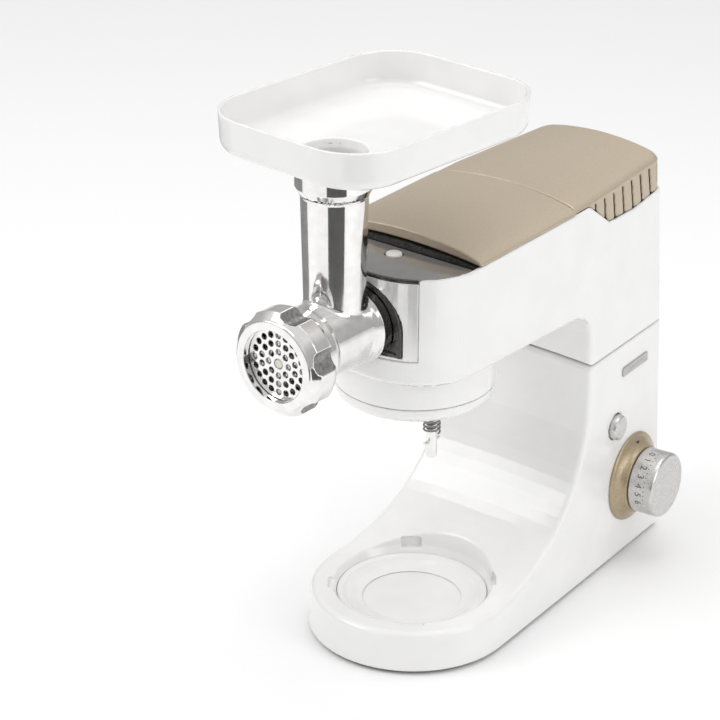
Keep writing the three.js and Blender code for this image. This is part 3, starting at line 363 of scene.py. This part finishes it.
def skin(name, field, lo, hi, step):
    """The surface of a field as quads on it, with normals from its slope."""
    lo, hi = np.array(lo, float), np.array(hi, float)
    blocks = np.ceil((hi - lo) / step / 8).astype(int)
    corner = np.stack(np.meshgrid(*map(np.arange, blocks), indexing="ij"), -1)
    rough = field((lo + (corner * 8 + 3.5) * step).reshape(-1, 3)).reshape(blocks)
    values = rough.astype(np.float32)
    for axis in range(3):
        values = np.repeat(values, 8, axis)
    local = np.stack(np.meshgrid(*[np.arange(8)] * 3, indexing="ij"), -1).reshape(-1, 3)
    near = np.argwhere(np.abs(rough) < 8 * step * 1.15 + step)
    for at in range(0, len(near), 300):
        index = (near[at:at + 300, None, :] * 8 + local).reshape(-1, 3)
        values[tuple(index.T)] = field(lo + index * step)

    inside = values < 0
    size = np.array(inside.shape) - 1
    corners = [(i, j, k) for i in (0, 1) for j in (0, 1) for k in (0, 1)]
    full = sum(inside[i:size[0] + i, j:size[1] + j, k:size[2] + k].astype(np.int8)
               for i, j, k in corners)
    cells = np.argwhere((full > 0) & (full < 8))
    at_corner = [values[tuple((cells + c).T)] for c in corners]
    total, hits = np.zeros((len(cells), 3)), np.zeros(len(cells))
    for a, ca in enumerate(corners):
        for b, cb in enumerate(corners):
            if b > a and sum(abs(p - q) for p, q in zip(ca, cb)) == 1:
                fa, fb = at_corner[a], at_corner[b]
                cut = (fa < 0) != (fb < 0)
                share = np.where(cut, fa / np.where(cut, fa - fb, 1), 0)[:, None]
                total += cut[:, None] * (np.array(ca) + share * (np.array(cb) - np.array(ca)))
                hits += cut
    points = lo + (cells + total / hits[:, None]) * step
    number = np.full(tuple(size), -1, np.int32)
    number[tuple(cells.T)] = np.arange(len(cells))

    quads = []
    for axis in range(3):
        u, v = np.eye(3, dtype=int)[(axis + 1) % 3], np.eye(3, dtype=int)[(axis + 2) % 3]
        low = [slice(0, size[0]), slice(0, size[1]), slice(0, size[2])]
        high = list(low)
        high[axis] = slice(1, size[axis] + 1)
        at = np.argwhere(inside[tuple(low)] != inside[tuple(high)])
        at = at[(at[:, (axis + 1) % 3] > 0) & (at[:, (axis + 2) % 3] > 0)]
        quad = np.stack([number[tuple(c.T)] for c in (at - u - v, at - v, at, at - u)], 1)
        outward = inside[tuple(at.T)]
        quads.append(np.where(outward[:, None], quad, quad[:, ::-1]))
    quads = np.concatenate(quads)

    def slope(P):
        reach = step * 0.3
        return np.stack([field(P + d) - field(P - d) for d in np.eye(3) * reach], 1) / (2 * reach)

    for _ in range(3):
        lean = slope(points)
        move = -(field(points) / np.maximum((lean ** 2).sum(1), 0.25))[:, None] * lean
        far = np.linalg.norm(move, axis=1, keepdims=True)
        points += move * np.minimum(1, 0.5 * step / np.maximum(far, 1e-9))
    lean = slope(points)
    lean /= np.maximum(np.linalg.norm(lean, axis=1, keepdims=True), 1e-9)

    mesh = bpy.data.meshes.new(name)
    mesh.from_pydata((points * MM).tolist(), [], quads.tolist())
    mesh.shade_smooth()
    mesh.normals_split_custom_set_from_vertices(lean.tolist())
    return placed(name, mesh)


# ------------------------------------------------------------------ lathed and cut pieces
def eased(pts, r, steps=4, closed=True):
    """An outline with its corners rounded to radius r, or less on short edges."""
    count = len(pts)
    result = []
    for i, p in enumerate(pts):
        if not closed and i in (0, count - 1):
            result.append(tuple(p))
            continue
        p, a, b = Vector(p), Vector(pts[i - 1]), Vector(pts[(i + 1) % count])
        u, v = a - p, b - p
        reach = min(r, u.length * 0.45, v.length * 0.45)
        start, end = p + u.normalized() * reach, p + v.normalized() * reach
        for k in range(steps + 1):
            t = k / steps
            q = start * (1 - t) ** 2 + p * 2 * t * (1 - t) + end * t * t
            result.append((q.x, q.y))
    return result


def smoothed(mesh, angle=40):
    """Smooth shading, with edges sharper than the angle left sharp."""
    mesh.shade_smooth()
    mesh.set_sharp_from_angle(angle=math.radians(angle))


def new_mesh(name, points, faces):
    mesh = bpy.data.meshes.new(name)
    mesh.from_pydata([tuple(c * MM for c in p) for p in points], [], faces)
    smoothed(mesh)
    return placed(name, mesh)


def turned(name, profile, place, segments=96, ease=0.5, closed=True):
    """A profile of (radius, height) turned about the local Z of a frame given in mm."""
    ring = eased(profile, ease, closed=closed) if ease else profile
    points, faces = [], []
    for i in range(segments):
        a = 2 * math.pi * i / segments
        points += [tuple(place @ Vector((r * math.cos(a), r * math.sin(a), h))) for r, h in ring]
    n = len(ring)
    for i in range(segments):
        j = (i + 1) % segments
        for k in range(n if closed else n - 1):
            m = (k + 1) % n
            face = (i * n + k, j * n + k, j * n + m, i * n + m)
            if ring[k][0] > 1e-6 or ring[m][0] > 1e-6:
                faces.append(face)
    piece = new_mesh(name, points, faces)
    weld(piece)
    return piece


def weld(piece):
    """Joins points that coincide, and turns all faces outward."""
    work = bmesh.new()
    work.from_mesh(piece.data)
    bmesh.ops.remove_doubles(work, verts=work.verts, dist=1e-6)
    bmesh.ops.recalc_face_normals(work, faces=work.faces)
    work.to_mesh(piece.data)
    work.free()
    smoothed(piece.data)


def mesh_of(data):
    """The mesh of a curve or a text."""
    temporary = placed(data.name, data)
    depsgraph = bpy.context.evaluated_depsgraph_get()
    mesh = bpy.data.meshes.new_from_object(temporary.evaluated_get(depsgraph))
    bpy.data.objects.remove(temporary)
    return mesh


def plate(name, loops, thick, bevel, place):
    """A plate cut to outlines in the local XY plane, with eased edges, along local Z."""
    data = bpy.data.curves.new(name, "CURVE")
    data.dimensions, data.fill_mode = "2D", "BOTH"
    data.extrude = (thick / 2 - bevel) * MM
    data.bevel_depth, data.bevel_resolution = bevel * MM, 2
    data.offset = -bevel * MM
    for loop in loops:
        spline = data.splines.new("POLY")
        spline.points.add(len(loop) - 1)
        for point, (x, y) in zip(spline.points, loop):
            point.co = (x * MM, y * MM, 0, 1)
        spline.use_cyclic_u = True
    mesh = mesh_of(data)
    centred = place @ Matrix.Translation((0, 0, thick / 2))
    centred.translation = centred.translation * MM
    mesh.transform(centred)
    smoothed(mesh, 35)
    return placed(name, mesh)


def circle(r, count=64, x=0.0, y=0.0):
    return [(x + r * math.cos(2 * math.pi * i / count), y + r * math.sin(2 * math.pi * i / count))
            for i in range(count)]


def rod(name, path, r):
    """A round wire along a path of points in mm."""
    data = bpy.data.curves.new(name, "CURVE")
    data.dimensions, data.bevel_depth, data.bevel_resolution = "3D", r * MM, 3
    data.use_fill_caps = True
    spline = data.splines.new("POLY")
    spline.points.add(len(path) - 1)
    for point, p in zip(spline.points, path):
        point.co = (*(c * MM for c in p), 1)
    mesh = mesh_of(data)
    mesh.shade_smooth()
    return placed(name, mesh)


def upright_at(x=0.0, y=0.0, z=0.0):
    return Matrix.Translation((x, y, z))


def forward_at(y=0.0, x=0.0, z=HUB_Z):
    """Local Z runs along +Y."""
    return Matrix.Translation((x, y, z)) @ Matrix.Rotation(-math.pi / 2, 4, "X")


def flank_at(y, z):
    """Local Z points straight out of the right flank of the column."""
    turn, x = flank(y, z)
    slope = math.atan((flank(y, z - 1)[1] - x) * math.cos(turn))
    outward = Matrix.Rotation(turn, 4, "Z") @ Matrix.Rotation(math.pi / 2 - slope, 4, "Y")
    return Matrix.Translation((x, y, z)) @ outward


# ------------------------------------------------------------------ the stand
def stand_plan(P):
    x, y = plumb(P)
    x = np.abs(x)
    side = x * math.cos(NOSE_TOUCH) + y * math.sin(NOSE_TOUCH) - NOSE_R
    nose = np.hypot(x, y) - NOSE_R
    return rmax(np.where(np.arctan2(y, x) < NOSE_TOUCH, nose, side), y - REAR_Y, 9)


def scoop_profile():
    sweep = bezier((72, BASE_TOP), (148, 42), (199, 95), (SCOOP_R, 175), 20)
    z0 = ROOF_Z - ROOF_FILLET
    bend = [(SCOOP_R - ROOF_FILLET * (1 - math.cos(a)), z0 + ROOF_FILLET * math.sin(a))
            for a in np.linspace(0, math.pi / 2, 9)]
    return [(-200, BASE_TOP)] + sweep + bend + [(-200, ROOF_Z)]


SCOOP_OUTLINE = scoop_profile()


def scoop(P):
    return outline(np.hypot(P[:, 0] / STRETCH, P[:, 1] - SCOOP_Y), P[:, 2], SCOOP_OUTLINE)


def stand_field(P):
    x, y, z = P.T
    draft = 0.07 * np.clip((60 - y) / 120, 0, 1) * np.clip(z - UNDER_Z, 0, 40)
    body = rmax(stand_plan(P) + 0.15 + draft, UNDER_Z - z, 3)
    body = rmax(body, z - SEAM_Z, 0.8)
    body = rmax(body, -scoop(P), 4.5)
    dish = outline(np.hypot(x, y), z, [(-80, 24), (61, 24), (61, 31), (64, 37), (67, 60), (-80, 60)])
    body = rmax(body, -dish, 1.6)
    for turn in (38, 128, 218, 308):
        slot = block(spun(P, math.radians(turn)), (55, -8.5, 34), (67.5, 8.5, 43), 1.2)
        body = rmax(body, -slot, 0.8)
    for side in (-1, 1):
        lug_x = side * LUG_X
        lug = block(P, (lug_x - 3.5, TILT_Y - 9, 190), (lug_x + 3.5, TILT_Y + 5, 210), 0.5)
        body = rmax(body, -lug, 0.4)
    body = rmax(body, -block(P, (31, 177, 122), (47, 193, 210), 0.8), 0.4)
    for spot, r in ((DIAL, 5.0), (RELEASE, 11.4)):
        local = np.array(flank_at(*spot).inverted())
        along = P @ local[:3, :3].T + local[:3, 3]
        hole = np.maximum(np.hypot(along[:, 0], along[:, 1]) - r, -24 - along[:, 2])
        body = rmax(body, -hole, 0.5)
    return body


def build_stand():
    stands_for(skin("stand_body", stand_field, (-88, -88, 0), (88, 276, 202), 1.6), "stand_shell")
    ring = [(40, 24.3), (60.7, 24.3), (60.7, 31), (56, 31), (53.5, 29), (49, 26.8), (44.5, 25.6),
            (40, 25.1)]
    stands_for(turned("bowl_seat", ring, upright_at(), ease=0.9), "bowl_seat_ring")
    for name in ("front_left", "front_right", "rear_left", "rear_right"):
        node = "foot_" + name
        lo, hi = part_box(node)
        centre = (lo + hi) / 2 / MM
        foot = [(0, 1.2), (9, 1.2), (12, 0), (14, 0), (14, 5.8), (16, 5.8), (16, 7.3), (0, 7.3)]
        stands_for(turned(node + "_cup", foot, upright_at(centre.x, centre.y), 48, 0.4, False), node)
    gland = [(3.4, 264.7), (7.6, 264.7), (7.6, 272.7), (10, 272.7), (10, 275), (3.4, 275)]
    stands_for(turned("cord_sleeve", gland, forward_at(0, 0, 24), 48, 0.6), "cord_gland")


def number_marks(place):
    """Speed numbers and dots round the rim of the knob."""
    radius, first, spacing = 27.85, 189, 8.2
    points, faces = [], []

    def stamp(mesh, turn, size, shift):
        start = len(points)
        for vertex in mesh.vertices:
            a = turn + (vertex.co.x * size) / radius
            h = shift + vertex.co.y * size
            points.append(tuple(place @ Vector((radius * math.cos(a), radius * math.sin(a), h))))
        faces.extend([tuple(start + v for v in face.vertices) for face in mesh.polygons])

    for i in range(7):
        data = bpy.data.curves.new("mark", "FONT")
        data.body, data.align_x, data.align_y, data.size = str(i), "CENTER", "CENTER", 1.0
        stamp(mesh_of(data), math.radians(first + 2 * spacing * i), 8.2, 21.5)
    dots = bpy.data.meshes.new("dot")
    ring = [(0.5 * c, 0.5 * s, 0) for c, s in circle(1, 10)]
    dots.from_pydata(ring, [], [tuple(range(10))])
    for i in range(13):
        stamp(dots, math.radians(first + spacing * i), 1.0, 26.6)
    piece = new_mesh("speed_numbers", points, faces)
    finish_piece(piece, "speed_knob", "print")


def build_controls():
    dial = flank_at(*DIAL)
    flare = [(5.5, 0.3), (38.6, 0.3), (38.6, 1.6), (37.6, 2.6), (35.5, 3.4), (33.4, 4.8), (31.4, 6.6),
             (29.8, 8.8), (28.8, 11.6), (5.5, 11.6)]
    ring = stands_for(turned("dial_flare", flare, dial, 128, 0.8), "dial_plate")
    ring.data.materials[0] = MATERIALS["gold_trim"]
    arrow = [(-33.6, -1.5), (-33.6, 1.5), (-30.6, 0)]
    finish_piece(plate("speed_pointer", [arrow], 1.6, 0.1, dial @ Matrix.Translation((0, 0, 4.8))),
                 "dial_plate", "print")
    face = [(5, 12), (26.9, 12), (27.8, 13), (27.8, 32), (27.2, 33.6), (25.8, 34.7), (23.6, 35)]
    for i in range(8):
        r = 22.0 - 2.6 * i
        face += [(r + 1.1, 34.8), (r, 34.65), (r - 0.8, 34.8)]
    face += [(1.2, 34.7), (0, 34.7), (0, 29), (5, 29)]
    stands_for(turned("speed_grip", face, dial, 160, 0.35), "speed_knob")
    number_marks(dial)
    button = [(0, -12), (4, -12), (4, -7), (10.7, -7), (10.7, 3.6), (9.9, 5.4), (8.4, 5.9), (7.2, 5.5),
              (0, 5.9)]
    stands_for(turned("release_cap", button, flank_at(*RELEASE), 96, 0.5, False), "release_button")
    strip = [(-4, -21), (4, -21), (4, 21), (-4, 21)]
    stands_for(plate("plain_strip", [eased(strip, 1.2)], 0.9, 0.25,
                     flank_at(*STRIP) @ Matrix.Translation((0, 0, 0.3))), "column_strip")


# ------------------------------------------------------------------ the head
# The flanks run straight on past the rear wall, which is a separate face of the plan.
FLANK_END = (REAR_HALF - 5, REAR_Y + 58)
NOSE_CURVE = bezier((HEAD_HALF, NOSE_START), (HEAD_HALF, NOSE_START - 32),
                    (0.74 * HEAD_HALF, NOSE_Y + 2), (14, NOSE_Y), 24)
HEAD_OUTLINE = [(-60, FLANK_END[1]), FLANK_END, (HEAD_HALF, TAPER_Y)] + NOSE_CURVE + [(-60, NOSE_Y)]
SHOULDER = [(270, 321), (240, 317), (205, 314), (165, 316), (133, EDGE_Z + RISE * 133),
            (-20, 334.4), (-90, 334.4)]


def head_plan(P, corner=9):
    x, y = plumb(P)
    return rmax(outline(np.abs(x), y, HEAD_OUTLINE), y - REAR_Y, corner)


def head_side(y, z):
    bend = [(TILT_Y + 9 * math.sin(a), TILT_Z - 9 * math.cos(a))
            for a in np.linspace(0, math.pi / 2, 9)]
    return outline(y, z, [(-90, 199)] + bend + SHOULDER)


def arch(x, z, r, floor):
    upper = np.hypot(x, z - HUB_Z) - r
    lower = np.maximum(np.abs(x) - r, floor - z)
    return np.where(z > HUB_Z, upper, lower)


def head_field(P):
    x, y, z = P.T
    plan, bowl = head_plan(P), scoop(P)
    body = rmax(plan, head_side(y, z), 1.2)
    body = rmax(body, -bowl, 5)
    hollow = np.maximum(np.maximum(plan + WALL, 202 - z), WALL - bowl)
    body = rmax(body, -hollow, 0.6)
    seat = np.maximum(np.maximum(-(plan + 1.9), np.abs(x) - 48.8), np.maximum(268.2 - z, y + 30))
    body = rmax(body, -seat, 0.5)
    body = rmax(body, -np.maximum(arch(x, z, ARCH_R, ARCH_FLOOR), y + 45), 0.5)
    for side in (-1, 1):
        lug_x = side * LUG_X
        lug = block(P, (lug_x - 4, TILT_Y - 14, 180), (lug_x + 4, TILT_Y + 16, 222), 0.5)
        body = rmax(body, -lug, 0.5)
    body = rmax(body, -block(P, (28, 174, 180), (50, 194, 206), 0.5), 0.5)
    return rmax(body, -np.maximum(np.hypot(x, y) - 16, slab(z, 235, 260)), 0.6)


def crown(P, inset=0.0):
    """The crowned top of the covers, whose section narrows with the head."""
    x, y = plumb(P)
    taper = np.clip((y - TAPER_Y) / (REAR_Y - TAPER_Y), 0, 1)
    half = HEAD_HALF - inset - (HEAD_HALF - REAR_HALF) * taper
    lift = (P[:, 2] - RISE * y - CROWN_FOOT + inset) / CROWN_HEIGHT
    u, v, p = np.maximum(np.abs(x) / half, 1e-6), np.maximum(lift, 1e-6), CROWN_POWER
    s = u ** p + v ** p
    scale = s ** (1 / p - 1)
    slope = np.hypot(scale * u ** (p - 1) / half, scale * v ** (p - 1) / CROWN_HEIGHT)
    below = np.maximum(np.abs(x) - half, CROWN_HEIGHT * (lift - 1))
    return np.where(lift > 0, (s ** (1 / p) - 1) / np.maximum(slope, 1e-3), below)


def front_cover_field(P):
    x, y, z = P.T
    under = EDGE_Z + 0.3 + RISE * y + 4.3 * (1 - np.minimum(np.abs(x) / HEAD_HALF, 1) ** 1.8)
    body = rmax(crown(P), under - z, 0.8)
    return rmax(body, slab(y, COVER_FRONT, COVER_SPLIT - COVER_GAP), 1.0)


def rear_cover_field(P):
    _, y, z = P.T
    above = outline(y, z, [(270, 400), (270, 321.3), (240, 317.3), (205, 314.3), (165, 316.3),
                           (133, 338.8), (100, 337.9), (100, 400)])
    plan = head_plan(P, 12)
    outer = rmax(crown(P), plan, 6)
    body = rmax(rmax(outer, above, 0.8), COVER_SPLIT + COVER_GAP - y, 1.0)
    inner = np.maximum(crown(P, WALL), plan + WALL)
    return rmax(body, -inner, 0.5)


def bezel_field(P):
    x, y, z = P.T
    plan = head_plan(P)
    band = rmax(plan, -(plan + 1.6), 0.3)
    window = np.maximum(np.abs(x) - 48.5, np.maximum(slab(z, 268.5, 331.7), y + 30))
    hole = np.maximum(arch(x, z, ARCH_R, ARCH_FLOOR), y + 45)
    return rmax(rmax(band, window, 0.5), -hole, 0.5)


def hub_arch_field(P):
    x, y, z = P.T
    outer = arch(x, z, ARCH_R - ARCH_GAP, ARCH_FLOOR + ARCH_GAP)
    body = rmax(rmax(outer, slab(y, -68.6, -56), 0.5), z - 328.6, 0.5)
    rim = rmax(rmax(outer, -(outer + 3.2), 1.0), slab(y, -70, -60), 0.9)
    body = rmin(body, rmax(rim, z - 328.6, 0.5), 0.4)
    across = np.hypot(x, z - HUB_Z)
    seat = np.maximum(np.maximum(across - 31.7, y + 62.5), 281.6 - z)
    return rmax(rmax(body, -seat, 0.5), -(across - 16), 0.5)


def nose_plan(inset, rear):
    """The outline of the nose in plan, moved in by inset and closed at rear."""
    curve = [(HEAD_HALF, rear)] + [p for p in NOSE_CURVE if p[1] < rear]
    moved = []
    for i, p in enumerate(curve):
        a, b = Vector(curve[max(i - 1, 0)]), Vector(curve[min(i + 1, len(curve) - 1)])
        along = (b - a).normalized()
        moved.append((p[0] + along.y * inset, p[1] - along.x * inset))
    moved[0] = (moved[0][0], rear)
    return moved + [(-x, y) for x, y in reversed(moved)]


def build_head():
    for name, field, lo, hi, step, node in (
            ("head_body", head_field, (-74, -76, 194), (74, 268, 346), 1.6, "head_shell"),
            ("cover_front", front_cover_field, (-74, -16, 330), (74, 118, 356), 1.2, "front_cover"),
            ("cover_rear", rear_cover_field, (-74, 108, 306), (74, 260, 360), 1.3, "rear_cover"),
            ("nose_bezel", bezel_field, (-54, -76, 262), (54, -28, 340), 0.9, "hub_bezel")):
        stands_for(skin(name, field, lo, hi, step), node)
    pane = [nose_plan(3.4, -15.8), circle(7.3, 64, 0, -28)]
    stands_for(plate("nose_pane", pane, 4, 0.4, upright_at(0, 0, 329)), "front_panel")
    rim = [p for p in nose_plan(0.25, -30) if abs(p[0]) < 48.4]
    inner = [p for p in nose_plan(3.2, -30) if abs(p[0]) < 46.5]
    finish_piece(plate("pane_edge", [rim + inner[::-1]], 2.4, 0.3, upright_at(0, 0, 331.9)),
                 "front_panel", "black_plastic")
    stands_for(skin("hub_arch", hub_arch_field, (-40, -72, 269), (40, -55, 330), 0.7), "hub_frame")
    button = [(0, 323), (8, 323), (8, 325), (6.4, 325), (6.4, 333.4), (5.4, 334.2), (0, 334.5)]
    stands_for(turned("hub_release", button, upright_at(0, -28), 64, 0.4, False), "hub_button")


# ------------------------------------------------------------------ planetary drive and beater
def carrier_field(P):
    x, y, z = P.T
    r = np.hypot(x, y)
    dome = outline(r, z, [(-80, 220.8), (-80, 204.5)] + [
        (36 + 26.6 * math.sin(a), 217.5 - 13 * math.cos(a)) for a in np.linspace(0, math.pi / 2, 14)]
        + [(62.6, 220.8)])
    inner = rmax(r - 59.5, 210 - z, 6)
    body = rmax(dome, -inner, 0.5)
    boss = slab(z, 205, 219)
    near = np.hypot(x - BEATER[0], y - BEATER[1])
    body = np.minimum(body, rmax(near - 12, boss, 1))
    body = np.minimum(body, rmax(r - 9, boss, 1))
    body = rmax(body, -(near - 8.4), 1.0)
    return rmax(body, -np.maximum(r - 5.4, 208 - z), 0.4)


def build_planetary():
    ring = [(59.6, 221.4), (62.4, 221.4), (63, 222.4), (63, 246.4), (59.6, 246.4)]
    stands_for(turned("drive_collar", ring, upright_at(), 128, 0.6), "planet_ring")
    stands_for(skin("drive_dome", carrier_field, (-66, -66, 201), (66, 66, 224), 1.1), "planet_carrier")
    shaft = [(0, 163), (3.6, 163), (4.4, 163.8), (4.4, 197), (5, 198), (5, 240), (0, 240)]
    stands_for(turned("beater_spindle", shaft, upright_at(*BEATER), 64, 0.4, False), "beater_shaft")
    pin = [(0, -9), (1.6, -9), (1.6, 9), (0, 9)]
    stands_for(turned("beater_cross_pin", pin, forward_at(BEATER[1], BEATER[0], 176), 32, 0.4, False),
               "beater_pin")
    whole = 8 * math.pi
    coil = [(BEATER[0] + 6.3 * math.cos(a), BEATER[1] + 6.3 * math.sin(a), 184 + 14 * a / whole)
            for a in np.linspace(0, whole, 160)]
    stands_for(rod("beater_coil", coil, 0.8), "beater_spring")


# ------------------------------------------------------------------ the grinder
def housing_field(P):
    x, y, z = P.T
    across = np.hypot(x, z - HUB_Z)
    mouth = outline(across, y, [(-80, -158), (32.2, -158), (32.6, -157.6), (32.6, -146), (32, -145),
                                (32, -133.5), (31, -131), (29, -130), (-80, -130)])
    raised = np.hypot(x, z - HUB_Z - 3.5)
    barrel = outline(raised, y, [(-80, -146), (29.5, -146), (29.5, -82), (28.6, -77), (26, -74),
                                 (-80, -74)])
    flange = outline(across, y, [(-80, -88), (27, -88), (30, -81), (31, -78), (31, -64.5), (14, -64.5),
                                 (14, -62.5), (-80, -62.5)])
    barrel = rmin(rmin(mouth, barrel, 2.5), rmax(flange, y + 64.5, 0.6), 3.5)
    reach = np.hypot(x, y - CHUTE_Y)
    tube = outline(reach, z, [(-80, 296), (22.6, 296), (25.2, 402), (26.2, 405), (29.2, 410.5),
                              (29.2, CHUTE_TOP), (-80, CHUTE_TOP)])
    tube = rmax(tube, z - CHUTE_TOP, 0.8)
    web = rmax(np.abs(x) - 4, outline(y, z, [(-95, 300), (-66, 300), (-66, 322), (-72, 330), (-76, 340),
                                             (-80, 352), (-95, 352)]), 1.2)
    body = rmin(rmin(barrel, tube, 2.6), web, 3.0)
    flat = outline(y, z, [(-84, 240), (-50, 240), (-50, 282), (-75, 282)])
    body = rmax(body, -flat, 2.0)
    bore = np.minimum(np.maximum(across - 28, slab(y, -170, -150)),
                      np.maximum(across - 23.2, slab(y, -152, -80)))
    feed = outline(reach, z, [(-80, 292), (19.8, 292), (21.8, 400), (25.7, 405), (25.7, 440),
                              (-80, 440)])
    body = rmax(rmax(body, -bore, 0.6), -feed, 0.8)
    return rmax(body, -(across - 7), 0.5)


def nut_flutes(x, y, z):
    """Distance to the nearest of the six flutes in the rim of the nut, which widen rearward."""
    around = np.degrees(np.arctan2(z - HUB_Z, x)) - FLUTE_TURN
    turn = np.radians(np.round(around / 60) * 60 + FLUTE_TURN)
    away = np.hypot(x - FLUTE_AT * np.cos(turn), z - HUB_Z - FLUTE_AT * np.sin(turn))
    return away - np.clip(4 + (y + 171) * 0.97, 4, FLUTE_R)


def nut_field(P):
    x, y, z = P.T
    across = np.hypot(x, z - HUB_Z)
    body = outline(across, y, [(27.8, -170), (34.2, -170), (35, -169.2), (35.6, -168), (40.5, -162.5),
                               (40.5, -148), (39.5, -145), (38, -144), (33.4, -144), (33.4, -163.9),
                               (27.8, -163.9)])
    body = rmax(body, -170 - y, 0.8)
    return rmax(body, -0.85 * nut_flutes(x, y, z), 0.9)


def tray_field(P):
    x, y, z = (spun(P - (0, CHUTE_Y, 0), math.radians(-4)) + (0, CHUTE_Y, 0)).T
    half_x, half_y, mid_y, r, top = 81.5, 106.25, -55.25, 44.0, 464
    qx, qy = np.abs(x) - half_x + r, np.abs(y - mid_y) - half_y + r
    plan = np.hypot(np.maximum(qx, 0), np.maximum(qy, 0)) + np.minimum(np.maximum(qx, qy), 0) - r
    lean = 0.05 * (top - z)
    outer = rmax(rmax(plan + lean, 434 - z, 9), z - top, 1)
    inner = rmax(plan + lean + 2.7, 436.8 - z, 8)
    body = rmax(outer, -inner, 1)
    reach = np.hypot(x, y - CHUTE_Y)
    body = rmin(body, np.maximum(reach - 25.4, slab(z, 407, 436)), 1.5)
    hole = outline(reach, z, [(-80, 400), (22.8, 400), (22.8, 430), (25, 437), (25, 445), (-80, 445)])
    return rmax(body, -hole, 1.2)


def build_grinder():
    stands_for(skin("grinder_casting", housing_field, (-40, -162, 250), (40, -58, 434), 1.05),
               "grinder_housing")
    nut = skin("grinder_nut", nut_field, (-44, -174, 246), (44, -140, 334), 0.75)
    stands_for(nut, "ring_nut")
    # Faces in the flutes of the rim get a darker, rougher metal than the rest of the nut.
    nut.data.materials.append(MATERIALS["flute_darker_metal"])
    for face in nut.data.polygons:
        x, y, z = face.center / MM
        if nut_flutes(x, y, z) < 0.25 and math.hypot(x, z - HUB_Z) > 34.2:
            face.material_index = 1
    stands_for(skin("tray_dish", tray_field, (-94, -172, 403), (98, 62, 467), 1.25), "feed_tray")
    holes = [circle(30.9, 96), circle(4, 32)]
    for ring_r, count in ((9.4, 8), (16, 14), (22.6, 20)):
        for i in range(count):
            a = 2 * math.pi * (i + 0.5 * (count % 4 > 0)) / count
            holes.append(circle(2.5, 20, ring_r * math.cos(a), ring_r * math.sin(a)))
    stands_for(plate("mince_plate", holes, 5, 0.35, forward_at(-163.3)), "grinder_plate")


# ------------------------------------------------------------------ everything together
build_camera()
build_stage()
for node, piece in NODES.items():
    piece.data.materials.clear()
    piece.data.materials.append(MATERIALS[SLOT_OF[node]])
build_stand()
build_controls()
build_head()
build_planetary()
build_grinder()
